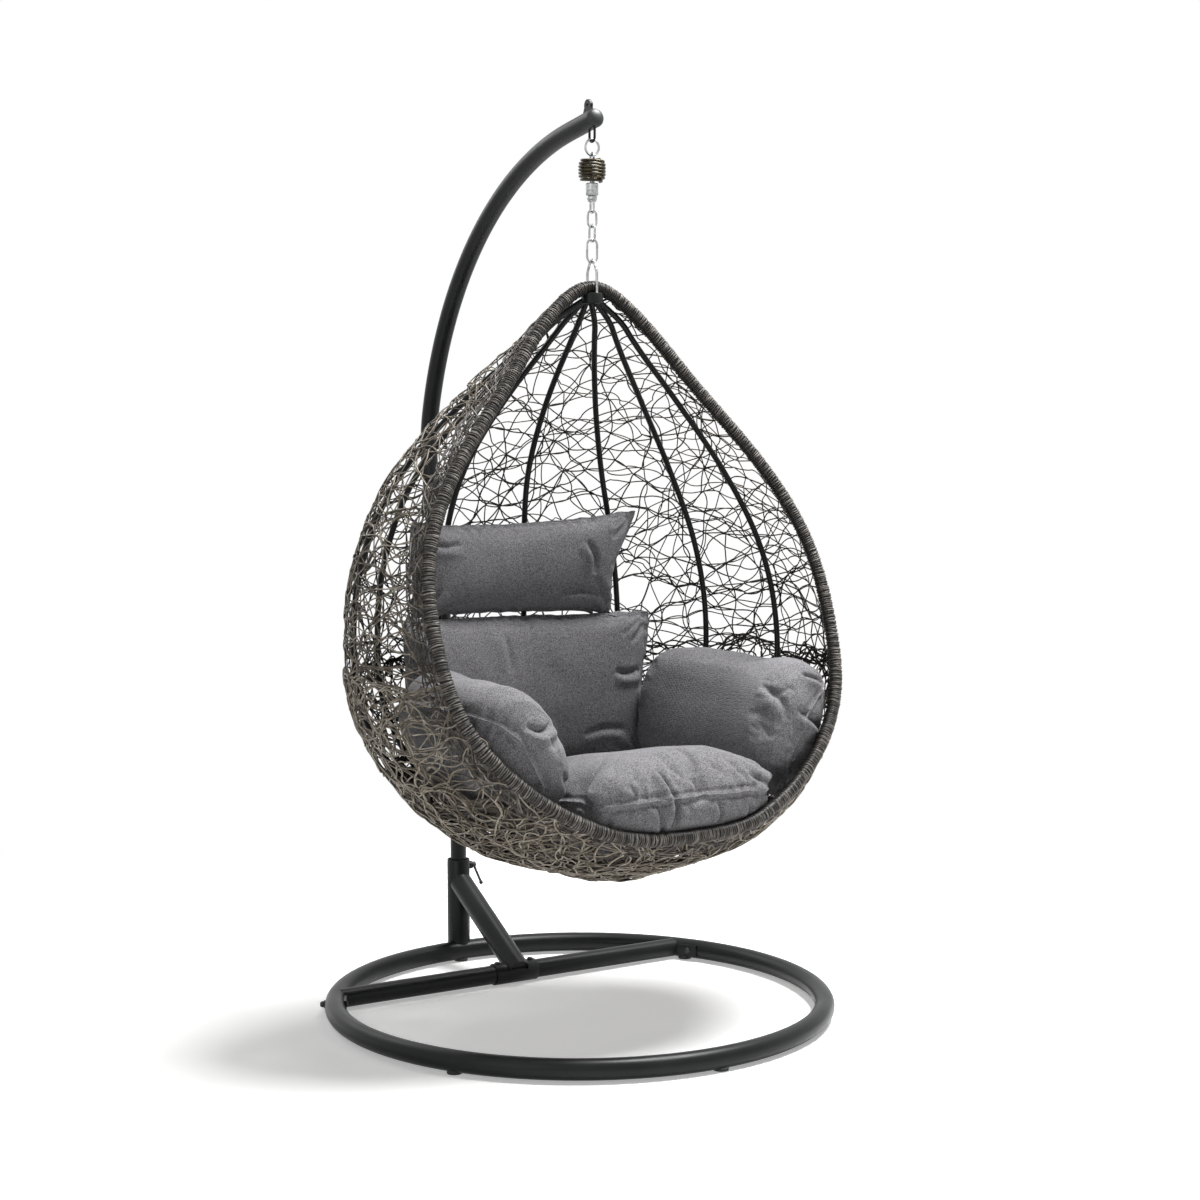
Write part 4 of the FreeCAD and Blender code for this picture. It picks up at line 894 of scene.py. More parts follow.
def skinLook(points):
    # For points relative to the hanging line: how far outside the skin (in share), and the outward normal
    z = points[:, 2]
    a, b, c = (np.interp(z, skinHeights, skinSizes[:, k]) for k in range(3))
    da, db, dc = (np.interp(z, skinHeights, skinSlopes[:, k]) for k in range(3))
    x, y = points[:, 0], points[:, 1] - c
    reach = np.sqrt((x / a) ** 2 + (y / b) ** 2) + 1e-9
    slope = -(x * x * da / a ** 3 + y * y * db / b ** 3 + y * dc / (b * b))
    gradient = np.stack([x / (a * a), y / (b * b), slope], 1) / reach[:, None]
    size = np.linalg.norm(gradient, axis=1, keepdims=True)
    return reach - 1, gradient / size, size[:, 0]


def onSkin(points):
    for _ in range(3):
        off, normal, size = skinLook(points)
        points = points - normal * (np.clip(off / size, -12, 12))[:, None]
    return points, skinLook(points)[1]


def insideRim(points, margin):
    # Which points lie on the skin that is left behind and below the rim
    drop = basket["rimTop"] + 12.0 - points[:, 2]
    edge = 6.0 - basket["rimLean"] * drop - drop ** 2 / basket["rimCurve"]
    behind = points[:, 1] > edge + margin
    return (behind | (points[:, 2] < basket["rimBottom"] - 6)) & (points[:, 2] < basket["rimTop"] - 10)


# The weave is one long net of knots: strands run from knot to knot, straight on where they can, so that
# several meet at each knot and leave many-sided openings between them

# A strand's pull to knots ahead is weighed against used pairs, steep runs and chance
walk = {"tries": 9000, "least": 0.74, "reach": 2.2, "used": 0.4, "steep": 0.6, "ahead": 0.1, "keepWay": 0.55,
        "fromRim": 0.6, "endAtRim": 0.55}
weave = {
    "open": {"apart": 27.0, "low": 302, "high": 1472, "strands": 235, "longest": 64, "strand": 1.4,
             "depth": (1.5, 7.5), "level": 0.55, "wander": 0.16, "tight": 0.35, "bow": 0.07, "loosen": 0.22,
             "miss": 1.2, "step": 7.8, "pieces": 2, "seed": 11},
    "bowl": {"apart": 25.0, "low": 302, "high": 740, "strands": 120, "longest": 66, "strand": 1.75,
             "depth": (-1.5, 4.0), "level": 0.25, "wander": 0.42, "tight": 0.05, "bow": 0.16, "loosen": 0.3,
             "miss": 4.0, "step": 8.0, "pieces": 1, "seed": 23},
    "under": {"apart": 20.0, "low": 300, "high": 545, "strands": 115, "longest": 66, "strand": 2.9,
              "depth": (5.0, 9.0), "level": 0.5, "wander": 0.3, "tight": 0.2, "bow": 0.1, "loosen": 0.3,
              "miss": 4.0, "step": 11.0, "pieces": 1, "seed": 37},
}


def scatterKnots(plan, rng):
    # Random points all over the skin, none nearer to another than most of the wanted spacing
    wanted, kept = walk["tries"], []
    least = (walk["least"] * plan["apart"]) ** 2
    share = np.interp(np.arange(300.0, 1490.0), skinHeights, np.hypot(skinSizes[:, 0], skinSizes[:, 1])
                      * np.hypot(1, skinSlopes[:, 0]))
    heights = rng.choice(np.arange(300.0, 1490.0), wanted, p=share / share.sum()) + rng.uniform(0, 1, wanted)
    heights = heights[(heights > plan["low"]) & (heights < plan["high"])]
    turn = rng.uniform(-pi, pi, len(heights))
    a, b, c = (np.interp(heights, skinHeights, skinSizes[:, k]) for k in range(3))
    spots, _ = onSkin(np.stack([a * np.sin(turn), c + b * np.cos(turn), heights], 1))
    spots = spots[insideRim(spots, 10)]
    taken = np.zeros((0, 3))
    for place in spots:
        if not kept or np.min(np.sum((taken[:len(kept)] - place) ** 2, 1)) > least:
            kept.append(place)
            if len(kept) > len(taken):
                taken = np.concatenate([taken, np.zeros((500, 3))])
            taken[len(kept) - 1] = place
    return np.array(kept)


def nearestKnots(knots, count=11):
    found = []
    for place in knots:
        away = np.sum((knots - place) ** 2, 1)
        found.append(np.argpartition(away, count)[:count + 1])
    return found


def runStrands(plan, rng):
    # Most strands start at the rim, and each picks its next knot by how straight on and how unused it is
    edge = rimLine(plan["apart"] * 0.8)
    edge = edge[(edge[:, 2] > plan["low"]) & (edge[:, 2] < plan["high"])]
    inner = scatterKnots(plan, rng)
    knots = np.concatenate([inner, edge])
    normals = skinLook(knots)[1]
    near, used, strands = nearestKnots(knots), {}, []
    for _ in range(plan["strands"]):
        fromRim = rng.uniform() < walk["fromRim"]
        here = len(inner) + rng.integers(len(edge)) if fromRim else rng.integers(len(inner))
        side = np.cross(normals[here], [0, 0, 1.0])
        turn = rng.normal(0, 0.9) + (pi if rng.uniform() < 0.5 else 0)
        way = side * cos(turn) + np.cross(side, normals[here]) * sin(turn)
        strand, fresh = [here], True
        while len(strand) < plan["longest"]:
            best, chosen = -9.0, None
            for other in near[here]:
                if other in strand[-4:]:
                    continue
                gap = knots[other] - knots[here]
                length = np.linalg.norm(gap)
                if length > walk["reach"] * plan["apart"] or length < 1:
                    continue
                gap = gap / length
                score = (gap @ way - walk["used"] * used.get((min(here, other), max(here, other)), 0)
                         - plan["level"] * abs(gap[2]) * walk["steep"] + rng.normal(0, plan["wander"]))
                if (gap @ way > walk["ahead"] or fresh) and score > best:
                    best, chosen = score, other
            if chosen is None:
                break
            gap = knots[chosen] - knots[here]
            pair = (min(here, chosen), max(here, chosen))
            used[pair] = used.get(pair, 0) + 1
            way = walk["keepWay"] * way + (1 - walk["keepWay"]) * gap / np.linalg.norm(gap)
            way -= normals[chosen] * (way @ normals[chosen])
            way /= np.linalg.norm(way) + 1e-9
            here, fresh = chosen, False
            strand.append(here)
            if here >= len(inner):
                if rng.uniform() < walk["endAtRim"]:
                    break
                inward = np.cross(normals[here], way)
                inward = inward if inward[1] > 0 else -inward
                way = 0.6 * inward + 0.4 * way
        if len(strand) > 3:
            strands.append(knots[strand])
    return strands


def bendStrand(knots, plan, rng):
    # Rounds one run of knots: nearly straight stretches with a slight bow, and a kink at each knot
    places = knots.copy()
    places[1:-1] = (1 - plan["loosen"]) * knots[1:-1] + plan["loosen"] / 2 * (knots[2:] + knots[:-2])
    places[1:-1] += rng.normal(0, plan["miss"], (len(places) - 2, 3))
    depth = rng.uniform(*plan["depth"], len(places))
    slack = (1 - plan["tight"]) / 2
    found, deep = [], []
    for i in range(len(places) - 1):
        p, q = places[i], places[i + 1]
        before, after = places[max(i - 1, 0)], places[min(i + 2, len(places) - 1)]
        run = np.linalg.norm(q - p)
        bow = rng.normal(0, plan["bow"]) * np.cross(skinLook(p[None])[1][0], q - p)
        for t in np.arange(0, 1, 1 / max(2, round(run / plan["step"]))):
            curve = ((1 + 2 * t) * (1 - t) ** 2 * p + t * (1 - t) ** 2 * slack * (q - before)
                     + t * t * (3 - 2 * t) * q - t * t * (1 - t) * slack * (after - p)
                     + 4 * t * (1 - t) * bow)
            found.append(curve)
            ease = t * t * (3 - 2 * t)
            deep.append(depth[i] * (1 - ease) + depth[i + 1] * ease)
    found.append(places[-1])
    deep.append(depth[-1])
    places, normals = onSkin(np.array(found))
    return places - normals * np.array(deep)[:, None], normals


def makeWeave(name, plan, material, replaced=()):
    # One layer of strands, dealt out over as many pieces as keep each mesh light
    rng = np.random.default_rng(plan["seed"])
    strands = [bendStrand(knots, plan, rng) for knots in runStrands(plan, rng)]
    for number in range(plan["pieces"]):
        placed, outward, tint, girth, total = [], [], [], [], 0.0
        for points, normals in strands[number::plan["pieces"]]:
            total += np.sum(np.linalg.norm(np.diff(points, axis=0), axis=1)) / 1000
            placed.append(hung(points))
            outward.append(normals)
            tint += [rng.uniform(0.15, 0.85)] * len(points)
            girth += [rng.uniform(0.86, 1.14)] * len(points)
        title = name + (str(number + 1) if number else "")
        mesh = tube(title, placed, plan["strand"], material, 5, outward=np.concatenate(outward), tint=tint,
                    girth=girth)
        print("weave %s: %.0f m of strand, %d faces" % (title, total, len(mesh.polygons)))
        newPiece(title, mesh, None, "basket", "wicker", *(() if number else replaced))


def rimHalfWidth(height):
    halfWidth, halfDepth, centre = skinAt(height)
    share = (rimY(height) - centre) / halfDepth
    return (halfWidth - basket["rimTube"] / 4) * sqrt(max(0.0, 1 - share * share))


def closedSpline(knots, spacing):
    # A smooth closed curve through the knots, sampled evenly, by periodic cubic interpolation
    knots = np.array(knots, float)
    gaps = np.linalg.norm(np.roll(knots, -1, 0) - knots, axis=1)
    count = len(knots)
    matrix, right = np.zeros((count, count)), np.zeros((count, 3))
    for i in range(count):
        before, after = gaps[i - 1], gaps[i]
        matrix[i, i - 1], matrix[i, i], matrix[i, (i + 1) % count] = before, 2 * (before + after), after
        right[i] = 6 * ((knots[(i + 1) % count] - knots[i]) / after - (knots[i] - knots[i - 1]) / before)
    curve = np.linalg.solve(matrix, right)
    dense = []
    for i in range(count):
        j, h = (i + 1) % count, gaps[i]
        for t in np.linspace(0, h, 60, endpoint=False):
            s = h - t
            dense.append(curve[i] * s ** 3 / (6 * h) + curve[j] * t ** 3 / (6 * h)
                         + (knots[i] / h - curve[i] * h / 6) * s + (knots[j] / h - curve[j] * h / 6) * t)
    dense = np.array(dense + [dense[0]])
    run = np.concatenate([[0], np.cumsum(np.linalg.norm(np.diff(dense, axis=0), axis=1))])
    spots = np.linspace(0, run[-1], max(8, round(run[-1] / spacing)), endpoint=False)
    return np.stack([np.interp(spots, run, dense[:, k]) for k in range(3)], 1)


def rimLine(spacing):
    heights = (1440.0, 1300.0, 1140.0, 960.0, 800.0, 660.0, 550.0, 475.0, 442.0)
    right = [(rimHalfWidth(h), rimY(h), h) for h in heights]
    left = [(-x, y, z) for x, y, z in reversed(right)]
    top, low = (0, 0, basket["rimTop"]), (0, rimY(basket["rimBottom"]), basket["rimBottom"])
    return closedSpline([top] + right + [low] + left, spacing)


rimWrap = {"pitch": 4.4, "strand": 1.5, "halfWidth": 12.4, "halfDepth": 12.4, "tilt": 0.13, "uneven": 0.05,
           "tints": (0.3, 0.75), "steps": 16, "back": 0.6, "seed": 5}


def faceOut(mesh, outward):
    # How much each point of a mesh looks out of the basket, for the painted shade on its inside
    normals = np.empty(len(mesh.vertices) * 3, np.float32)
    mesh.vertex_normals.foreach_get("vector", normals)
    facing = np.sum(normals.reshape(-1, 3) * outward, 1).astype(np.float32)
    mesh.attributes.new("facing", "FLOAT", "POINT").data.foreach_set("value", facing)


def rimSides(points):
    # Along the rim, square out of the skin, and back in the skin away from the opening
    way = unit(np.roll(points, -1, 0) - np.roll(points, 1, 0))
    outward = skinLook(points)[1]
    outward = unit(outward - way * np.sum(outward * way, 1, keepdims=True))
    inward = np.cross(way, outward)
    return way, outward, np.where((inward[:, 1] > 0)[:, None], inward, -inward)


def makeRim():
    points = rimLine(rimWrap["pitch"])
    way, outward, behind = rimSides(points)
    line = hung(points + behind * rimWrap["back"])
    mesh = lineMesh("rimTurns", [line], True, lineWay=way, outward=outward)
    turns = runTree("rimWrapTurns", mesh, wrapTree,
                    {"Strand": rimWrap["strand"] / 1000, "Half Width": rimWrap["halfWidth"] / 1000,
                     "Half Depth": rimWrap["halfDepth"] / 1000, "Tilt": rimWrap["tilt"],
                     "Uneven": rimWrap["uneven"], "Darkest": rimWrap["tints"][0],
                     "Lightest": rimWrap["tints"][1], "Seed": rimWrap["seed"], "Steps": rimWrap["steps"],
                     "Material": wound})
    faceOut(turns, np.repeat(outward, len(turns.vertices) // len(line), 0))
    newPiece("rimWrapTurns", turns, None, "basket", "rim_wrap")
    core = tube("rimHoopTube", [hung(rimLine(14.0))], basket["rimTube"] / 2, coat, 20, True)
    newPiece("rimHoopTube", core, None, "basket", "frame_paint", "rim_hoop")
    print("rim: %d turns" % len(line))


selvedge = {"runs": 6, "first": 17.0, "apart": 4.6, "wobble": 2.6, "zigzags": 5, "reach": (13.0, 44.0),
            "strand": 1.5, "depth": 3.0, "roll": 2.2, "step": 7.0, "endZ": 1462.0, "seed": 8}


def makeSelvedge():
    # Strands laid along the skin behind the rim, with others that zigzag over them to the rim and back
    rng = np.random.default_rng(selvedge["seed"])
    centre = rimLine(selvedge["step"])
    _, _, behind = rimSides(centre)
    along = np.arange(len(centre)) * selvedge["step"]
    keep = centre[:, 2] < selvedge["endZ"]
    order = np.roll(np.arange(len(centre)), -np.argmin(keep))
    order = order[keep[order]]
    placed, outward, tint, girth = [], [], [], []
    for number in range(selvedge["runs"] + selvedge["zigzags"]):
        slack = rng.uniform(0, 2 * pi, 3)
        if number < selvedge["runs"]:
            sway = np.sin(along / 23 + slack[0] + 2 * np.sin(along / 71 + slack[1]))
            off = selvedge["first"] + selvedge["apart"] * number + selvedge["wobble"] * sway
        else:
            low, high = selvedge["reach"]
            sway = np.sin(along / rng.uniform(12, 19) + slack[0] + 2.5 * np.sin(along / 83 + slack[1]))
            off = low + (high - low) * (0.5 + 0.5 * sway)
        points, normals = onSkin(centre + behind * off[:, None])
        deep = selvedge["depth"] + selvedge["roll"] * np.sin(along / 11 + slack[2]) - (number % 3)
        points = points - normals * deep[:, None]
        placed.append(hung(points[order]))
        outward.append(normals[order])
        tint += [rng.uniform(0.1, 0.8)] * len(order)
        girth += [rng.uniform(0.85, 1.15)] * len(order)
    mesh = tube("rimSelvedge", placed, selvedge["strand"], wound, 5, outward=np.concatenate(outward),
                tint=tint, girth=girth)
    newPiece("rimSelvedge", mesh, None, "basket", "wicker")


def ribLine(angle):
    # A rib runs from the hub at the top down inside the skin to the hub at the foot
    turn = radians(angle)
    out = Vector((sin(turn), cos(turn), 0))
    points = [hang(0, 0, gear["hubZ"] + 5) + out * (gear["hubRadius"] * 0.9)]
    for height in range(1430, 380, -30):
        a, b, c, rise = skinInset(height, basket["ribInset"])
        points.append(hang(a * sin(turn), c + b * cos(turn), height + rise))
    low = hang(0, skinRows[0][3], basket["footHubZ"] + 5) + out * (basket["footHubRadius"] * 0.9)
    middle = points[-1].lerp(low, 0.5)
    middle.z -= 4
    return points + [middle, low]


def makeRibs():
    for number, angle in enumerate(basket["ribAngles"], 1):
        line = [metres(smoothLine(ribLine(angle)))]
        newPiece("ribTube%d" % number, tube("ribTube%d" % number, line, basket["ribTube"] / 2, coat, 16),
                 None, "basket", "frame_paint", "rib_%d" % number)
    end = hang(0, rimY(basket["rimBottom"]) + 11, basket["rimBottom"] + 10)
    _, b, c = skinAt(370)
    front = [hang(0, skinRows[0][3] - 38, basket["footHubZ"] + 5), hang(0, c - b + 20, 386), end]
    newPiece("frontRibTube",
             tube("frontRibTube", [metres(smoothLine(front))], basket["ribTube"] / 2, coat, 16), None,
             "basket", "frame_paint", "front_rib")


def smoothLine(points, passes=2):
    # Rounds a line by cutting its corners, keeping its ends
    for _ in range(passes):
        cut = [points[0]]
        for p, q in zip(points, points[1:]):
            cut += [p.lerp(q, 0.25), p.lerp(q, 0.75)]
        points = cut + [points[-1]]
    return points


makeRim()
makeSelvedge()
makeRibs()
makeWeave("openWeave", weave["open"], rattan, ("wicker_shell",))
makeWeave("bowlWeave", weave["bowl"], rattan)
makeWeave("underWeave", weave["under"], underRattan)
print("basket: rim, ribs and weave made")


# Cushions

def loftMesh(name, rings):
    count = len(rings[0])
    points = [spot(*p) for ring in rings for p in ring]
    faces = []
    for k in range(len(rings) - 1):
        for i in range(count):
            j = (i + 1) % count
            faces.append((k * count + i, k * count + j, (k + 1) * count + j, (k + 1) * count + i))
    faces += [tuple(reversed(range(count))), tuple(range((len(rings) - 1) * count, len(rings) * count))]
    mesh = meshOf(name, points, faces)
    shell = bmesh.new()
    shell.from_mesh(mesh)
    bmesh.ops.recalc_face_normals(shell, faces=shell.faces)
    shell.to_mesh(mesh)
    shell.free()
    return mesh


stuffing = {"voxel": 6.0, "pressure": 4.0, "stiff": 12.0, "bending": 0.5, "shrink": -0.05, "fill": 0.7,
            "small": 4.0}  # a cover is cut this much smaller all round, because it swells


def applyAll(piece):
    # Keeps the mesh that the modifiers make and takes them off
    seen = piece.evaluated_get(bpy.context.evaluated_depsgraph_get())
    mesh = bpy.data.meshes.new_from_object(seen)
    piece.modifiers.clear()
    piece.data = mesh


def stuff(name, mesh, cap):
    # Remeshes a cover that is cut a little small, blows it up as cloth, caps how far it moves and rounds it
    piece = bpy.data.objects.new(name, mesh)
    bpy.context.scene.collection.objects.link(piece)
    remesh = piece.modifiers.new("remesh", "REMESH")
    remesh.mode, remesh.voxel_size = "VOXEL", stuffing["voxel"] / 1000
    applyAll(piece)
    before = np.array([v.co for v in piece.data.vertices])
    cloth = piece.modifiers.new("cloth", "CLOTH")
    cloth.settings.use_pressure = True
    cloth.settings.uniform_pressure_force = stuffing["pressure"]
    cloth.settings.effector_weights.gravity = 0
    cloth.settings.tension_stiffness = cloth.settings.compression_stiffness = stuffing["stiff"]
    cloth.settings.bending_stiffness = stuffing["bending"]
    cloth.settings.shrink_min = stuffing["shrink"]
    scene = bpy.context.scene
    for number in range(1, 21):
        scene.frame_set(number)
    applyAll(piece)
    scene.frame_set(1)
    after = np.array([v.co for v in piece.data.vertices])
    move = after - before
    size = np.linalg.norm(move, axis=1, keepdims=True) + 1e-9
    after = before + move * np.minimum(1, cap / 1000 / size)
    piece.data.vertices.foreach_set("co", after.ravel())
    piece.data.update()
    smoother = piece.modifiers.new("round", "SUBSURF")
    smoother.levels = smoother.render_levels = 1
    applyAll(piece)
    return piece


def evenLine(points, step=4.0, closed=False):
    # Points in metres every few millimetres along a line
    points = np.array([tuple(p) for p in points])
    if closed:
        points = np.concatenate([points, points[:1]])
    run = np.concatenate([[0], np.cumsum(np.linalg.norm(np.diff(points, axis=0), axis=1))])
    places = np.arange(0, run[-1], step / 1000)
    return np.stack([np.interp(places, run, points[:, k]) for k in range(3)], 1)


def settle(piece, points):
    # The nearest spots on a cover's skin
    found = []
    for point in points:
        hit, place, _, _ = piece.closest_point_on_mesh(Vector(point))
        found.append(tuple(place) if hit else tuple(point))
    return np.array(found)


def onFront(piece, outline):
    # A line drawn on the front of a cover as (x, height), smoothed and laid on its skin from the seat side
    found = []
    for point in smoothLine([Vector((x, 0, z)) for x, z in outline]):
        start = spot(point.x, -900, point.z)
        hit, place, _, _ = piece.ray_cast(start, axisY)
        if hit:
            found.append(place)
    return evenLine(found) if len(found) > 1 else np.zeros((0, 3))


fold = {"depth": 5.0, "width": 6.0, "lip": 0.0, "swell": 0.55, "pucker": 0.0, "fade": True}
welt = {"depth": -1.5, "width": 4.5, "lip": 1.7, "swell": 0.0, "pucker": 2.4, "fade": False}


def creaseLines(piece, creases):
    return [(onFront(piece, outline), dict(fold, depth=depth, width=width))
            for outline, depth, width in creases]


def pressLines(piece, lines, rng):
    # Folds are pressed in and seams stand up between two shallow dents, gathered along their length
    mesh = piece.data
    places, normals = np.empty(len(mesh.vertices) * 3), np.empty(len(mesh.vertices) * 3)
    mesh.vertices.foreach_get("co", places)
    mesh.vertex_normals.foreach_get("vector", normals)
    places, normals = places.reshape(-1, 3), normals.reshape(-1, 3)
    push = np.zeros(len(places))
    for line, look in lines:
        if len(line) < 2:
            continue
        near = np.all((places > line.min(0) - 0.05) & (places < line.max(0) + 0.05), 1)
        index = np.flatnonzero(near)
        for part in np.array_split(index, max(1, len(index) // 4000)):
            away = np.linalg.norm(places[part][:, None] - line[None], axis=2)
            closest = np.argmin(away, 1)
            off = away[np.arange(len(part)), closest] * 1000
            share = closest / (len(line) - 1)
            ends = np.sin(pi * np.clip(share, 0, 1)) ** 0.6 if look["fade"] else 1.0
            width = look["width"]
            move = -look["depth"] * (np.exp(-(off / width) ** 2)
                                     - look["lip"] * np.exp(-((off - 2 * width) / width) ** 2))
            if look["swell"]:
                way = np.gradient(line, axis=0)[closest]
                side = np.sum(np.cross(way, normals[part]) * (places[part] - line[closest]), 1)
                beside = np.where(side > 0, off, -0.4 * off)
                lip = (beside - 2.4 * width) / (1.7 * width)
                move += look["swell"] * look["depth"] * np.exp(-lip ** 2)
            if look["pucker"]:
                run = closest * 4.0
                gather = np.sin(run / 5.4 + 2.2 * np.sin(run / 31.0)) * (0.55 + 0.45 * np.sin(run / 47.0))
                move += look["pucker"] * gather * np.exp(-np.abs(off - 12) / 11)
            push[part] += move * ends
    slack = rng.uniform(0, 6, 6)
    x, y, z = places.T * 1000
    over = np.sin(x / 37 + slack[0] + np.sin(z / 29 + slack[1]))
    push += 1.3 * over * np.sin(z / 41 + slack[2] + np.sin(x / 33))
    push += 0.9 * np.sin(y / 31 + slack[3] + np.sin(x / 23 + slack[4])) * np.sin(x / 27 + slack[5])
    mesh.vertices.foreach_set("co", (places + normals * push[:, None] / 1000).ravel())
    mesh.update()
    mesh.shade_smooth()


def dressCover(piece, node):
    piece.data.materials.clear()
    piece.data.materials.append(canvas)
    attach(piece, "basket")
    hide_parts(node)


def makePiping(name, piece, seam):
    # The seam's corded edge, laid along the finished cover
    line = [tuple(p) for p in settle(piece, seam[::2])]
    newPiece(name, tube(name, [line], 1.9, canvas, 8, True), None, "basket", "cushion_fabric")


def cornerFolds(corners, middle, rng, count=3, reach=(55.0, 105.0)):
    # Folds that run in from each corner of a pad, as (x, height) lines
    found = []
    for corner in corners:
        way = atan2(middle[1] - corner[1], middle[0] - corner[0])
        for number in range(count):
            turn = way + (number - (count - 1) / 2) * 0.5 + rng.uniform(-0.12, 0.12)
            start, end = rng.uniform(14, 26), rng.uniform(*reach)
            bend = rng.uniform(-0.18, 0.18)
            found.append([(corner[0] + run * cos(turn + bend * run / end),
                           corner[1] + run * sin(turn + bend * run / end))
                          for run in (start, (start + end) / 2, end)])
    return found


seat = {"rings": ((385, 115, 115, -235, 50), (412, 195, 195, -288, 85), (440, 242, 234, -324, 95),
                  (464, 262, 224, -349, 90), (486, 254, 208, -347, 80), (502, 268, 198, -352, 75),
                  (522, 238, 176, -338, 60), (536, 188, 146, -300, 25), (542, 105, 85, -210, -25)),
        "seam": 4, "corner": 3.2, "level": 446.0, "crown": 542.0, "tilt": 0.19, "turnY": -110.0,
        "waist": -310.0, "waistRun": 40.0, "points": 72, "cap": 22.0, "rightCorner": 24.0,
        "creases": (([(-50, 562), (-42, 536), (-31, 503), (-33, 475), (-40, 446)], 19.8, 6.75),
                    ([(-74, 498), (-65, 464), (-56, 438)], 10.8, 5.25),
                    ([(62, 494), (76, 469), (68, 445)], 10.8, 5.25),
                    ([(-246, 556), (-236, 536), (-216, 518)], 10.8, 6.0),
                    ([(150, 538), (176, 522), (205, 512)], 8.1, 6.0),
                    ([(-128, 542), (-120, 522), (-124, 506)], 6.3, 6.0),
                    ([(16, 540), (24, 520), (20, 502)], 6.3, 6.0),
                    ([(-176, 490), (-168, 470), (-172, 452)], 7.2, 6.0),
                    ([(140, 486), (150, 468), (142, 450)], 7.2, 6.0))}


def seatRing(height, frontHalf, backHalf, front, back):
    # Narrower behind its front edge, where the arm cushions lie, and tilted up to the front
    inset = stuffing["small"]
    middle, halfDepth = (front + back) / 2, (back - front) / 2 - inset
    tilt = seat["tilt"] * max(0.0, height - seat["level"]) / (seat["crown"] - seat["level"])
    ring = []
    for i in range(seat["points"]):
        turn = 2 * pi * i / seat["points"]
        power = seat["corner"]
        reach = (abs(cos(turn)) ** power + abs(sin(turn)) ** power) ** (-1 / power)
        y = middle + halfDepth * sin(turn) * reach
        behind = min(1.0, max(0.0, (y - seat["waist"]) / seat["waistRun"]))
        half = frontHalf + (backHalf - frontHalf) * behind - inset
        if cos(turn) > 0:
            half += seat["rightCorner"] * (1 - behind)
        x = half * cos(turn) * reach
        ring.append(hang(x, y, height + tilt * (seat["turnY"] - y)))
    return ring


def makeSeat(rng):
    rings = [seatRing(*ring) for ring in seat["rings"]]
    piece = stuff("seatCushion", loftMesh("seatCushion", rings), seat["cap"])
    seam = settle(piece, evenLine(metres(rings[seat["seam"]]), closed=True))
    pressLines(piece, [(seam, welt)] + creaseLines(piece, seat["creases"]), rng)
    dressCover(piece, "seat_cushion")
    makePiping("seatPiping", piece, seam)


pads = {
    "backCushion": {"node": "back_cushion", "corners": ((-322, 500), (212, 492), (-362, 828), (247, 809)),
                    "pull": 2.0, "sag": 0.0, "thick": 124.0,
                    "creases": (([(138, 690), (170, 682), (205, 690)], 10.8, 6.75),
                                ([(60, 560), (110, 575), (165, 566)], 7.2, 6.75),
                                ([(-120, 780), (-112, 740), (-118, 700)], 4.5, 8.25))},
    "headPillow": {"node": "head_pillow", "corners": ((-324, 823), (162, 806), (-336, 1020), (220, 1024)),
                   "pull": 10.0, "sag": 14.0, "thick": 100.0,
                   "creases": (([(88, 966), (112, 930), (102, 890)], 12.6, 6.75),
                               ([(-300, 975), (-262, 966), (-225, 972)], 9.0, 6.0),
                               ([(20, 852), (70, 862), (120, 850)], 8.1, 6.75))},
}
padEdge, padCap, cushionGap = 0.12, 8.0, 34.0


def padRings(plan):
    # A stuffed pad on the back of the basket: thin at its seams, fat in its middle, with pointed corners
    lowLeft, lowRight, highLeft, highRight = plan["corners"]
    inset, rings = 0.0, []  # the outline draws in by itself as the pad fills
    for up in 0.5 - 0.5 * np.cos(np.linspace(0, pi, 29)):
        fat = padEdge + (1 - padEdge) * sin(pi * up) ** 0.6
        drawn = plan["pull"] * (1 - (2 * up - 1) ** 2) + inset
        left = lowLeft[0] + (highLeft[0] - lowLeft[0]) * up + drawn
        right = lowRight[0] + (highRight[0] - lowRight[0]) * up - drawn
        front, back = [], []
        for i in range(25):
            across = sin(pi * (i / 24 - 0.5))
            share = (across + 1) / 2
            x = left + (right - left) * share
            low = lowLeft[1] + (lowRight[1] - lowLeft[1]) * share + inset
            sag = plan["sag"] * (1 - across ** 2)
            top = highLeft[1] + (highRight[1] - highLeft[1]) * share - sag - inset
            z = low + (top - low) * up
            a, b, c, _ = skinInset(z, cushionGap)
            wall = c + b * sqrt(1 - min(0.98, (x / a) ** 2))
            half = (plan["thick"] / 2 - inset) * fat * (padEdge + (1 - padEdge) * (1 - across ** 4) ** 0.5)
            back.append(hang(x, wall - plan["thick"] / 2 + half, z))
            front.append(hang(x, wall - plan["thick"] / 2 - half, z))
        rings.append(front + back[::-1])
    return rings


def makePad(name, plan, rng):
    rings = padRings(plan)
    piece = stuff(name, loftMesh(name, rings), padCap)
    edge = [ring[0] for ring in rings] + rings[-1][1:25]
    edge += [ring[24] for ring in rings[-2:0:-1]] + rings[0][24:0:-1]
    seam = settle(piece, evenLine(metres(edge), closed=True))
    lines = [(seam, dict(welt, pucker=3.0))] + creaseLines(piece, plan["creases"])
    corners = plan["corners"]
    middle = (sum(c[0] for c in corners) / 4, sum(c[1] for c in corners) / 4)
    for outline in cornerFolds(corners, middle, rng):
        lines.append((onFront(piece, outline), dict(fold, depth=rng.uniform(4.5, 8.5), width=6.0)))
    pressLines(piece, lines, rng)
    dressCover(piece, plan["node"])
    makePiping(name + "Piping", piece, seam)


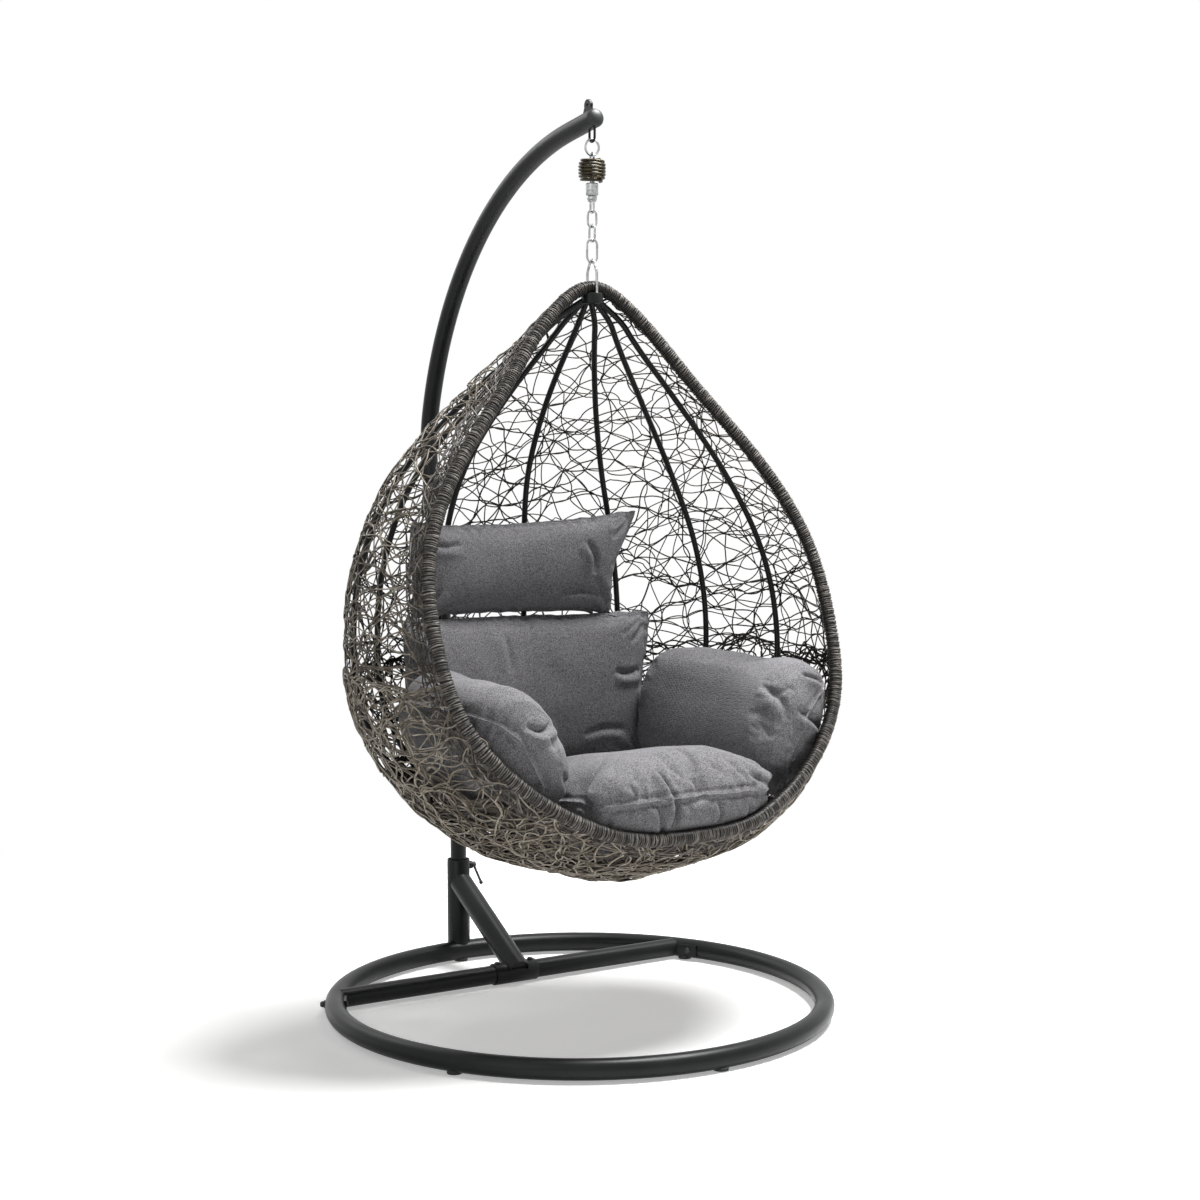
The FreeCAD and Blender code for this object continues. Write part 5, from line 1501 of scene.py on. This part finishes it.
arms = {
    "tilt": 28.0, "corner": 2.4, "thick": 196.0, "halfHeight": 146.0, "middleZ": 600.0, "points": 44,
    "cap": 14.0,
    "right": ((114, 0.7, 258, 0.2), (98, 0.92, 268, 0.3), (50, 1.0, 294, 0.6), (-12, 1.0, 320, 0.9),
              (-92, 1.0, 338, 1), (-160, 1.0, 333, 1), (-222, 0.94, 318, 1), (-252, 0.76, 303, 1),
              (-270, 0.42, 290, 1)),
    "left": ((62, 0.5, 305, 1), (46, 0.8, 308, 1), (22, 0.96, 314, 1), (-12, 1.0, 322, 1),
             (-92, 1.0, 338, 1), (-160, 1.0, 333, 1), (-222, 0.94, 318, 1), (-252, 0.76, 303, 1),
             (-270, 0.42, 290, 1)),
    "rightCreases": (([(338, 712), (372, 702), (404, 690)], 12.6, 6.4),
                     ([(308, 645), (356, 620), (398, 592)], 12.6, 7.2),
                     ([(290, 470), (322, 480), (342, 496)], 12.6, 6.4),
                     ([(212, 544), (252, 528), (292, 512)], 10.5, 7.2),
                     ([(262, 690), (280, 655), (276, 620)], 9.45, 8.0)),
    "leftCreases": (([(-322, 662), (-285, 645), (-245, 658)], 12.6, 6.4),
                    ([(-240, 565), (-206, 520), (-176, 490)], 12.6, 7.2),
                    ([(-352, 560), (-320, 540), (-286, 548)], 10.5, 7.2),
                    ([(-262, 700), (-238, 672), (-226, 630)], 9.45, 7.2)),
}


def armRings(side, sections):
    # A fat pillow that leans out on the wall of the basket from beside the back to the rim
    inset, rings = stuffing["small"], []
    for y, size, middleX, lean in sections:
        ring = []
        inward, upward = cos(radians(arms["tilt"] * lean)), sin(radians(arms["tilt"] * lean))
        for i in range(arms["points"]):
            turn = 2 * pi * i / arms["points"]
            power = arms["corner"]
            reach = (abs(cos(turn)) ** power + abs(sin(turn)) ** power) ** (-1 / power) * size
            out = (arms["thick"] / 2 - inset) * cos(turn) * reach
            up = (arms["halfHeight"] - inset) * sin(turn) * reach
            x, z = middleX + out * inward + up * upward, arms["middleZ"] - out * upward + up * inward
            a, b, c, _ = skinInset(z, cushionGap)
            wall = a * sqrt(max(0.0, 1 - ((y - c) / b) ** 2))
            ring.append(hang(side * min(x, wall), y, z))
        rings.append(ring)
    return rings


def makeArmCushion(name, node, side, sections, creases, rng):
    rings = armRings(side, sections)
    piece = stuff(name, loftMesh(name, rings), arms["cap"])
    top = arms["points"] // 6
    low = arms["points"] - top  # the seam lies on the side to the wall
    edge = [ring[top] for ring in rings] + [ring[low] for ring in reversed(rings)]
    seam = settle(piece, evenLine(metres(edge), closed=True))
    pressLines(piece, [(seam, dict(welt, pucker=2.6))] + creaseLines(piece, creases), rng)
    dressCover(piece, node)
    makePiping(name + "Piping", piece, seam)


def makeCushions():
    rng = np.random.default_rng(41)
    makeSeat(rng)
    for name, plan in pads.items():
        makePad(name, plan, rng)
    makeArmCushion("armCushionRight", "arm_cushion_right", 1, arms["right"], arms["rightCreases"], rng)
    makeArmCushion("armCushionLeft", "arm_cushion_left", -1, arms["left"], arms["leftCreases"], rng)


makeCushions()
print("cushions: five covers stuffed, creased and piped")


# CAD nodes that stay as they are get their finishes

def dress(material, *nodes):
    for node in nodes:
        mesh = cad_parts[node].data
        mesh.materials.clear()
        mesh.materials.append(material)


dress(zinc, "arm_joint_bolt")
dress(black, "crossbar_bolts", "crossbar_nuts", "brace_screws", "clamp_lever", "socket_bushes", "foot_pads")
dress(coat, "top_lug", "foot_hub")

bpy.context.scene.view_settings.view_transform = "Standard"
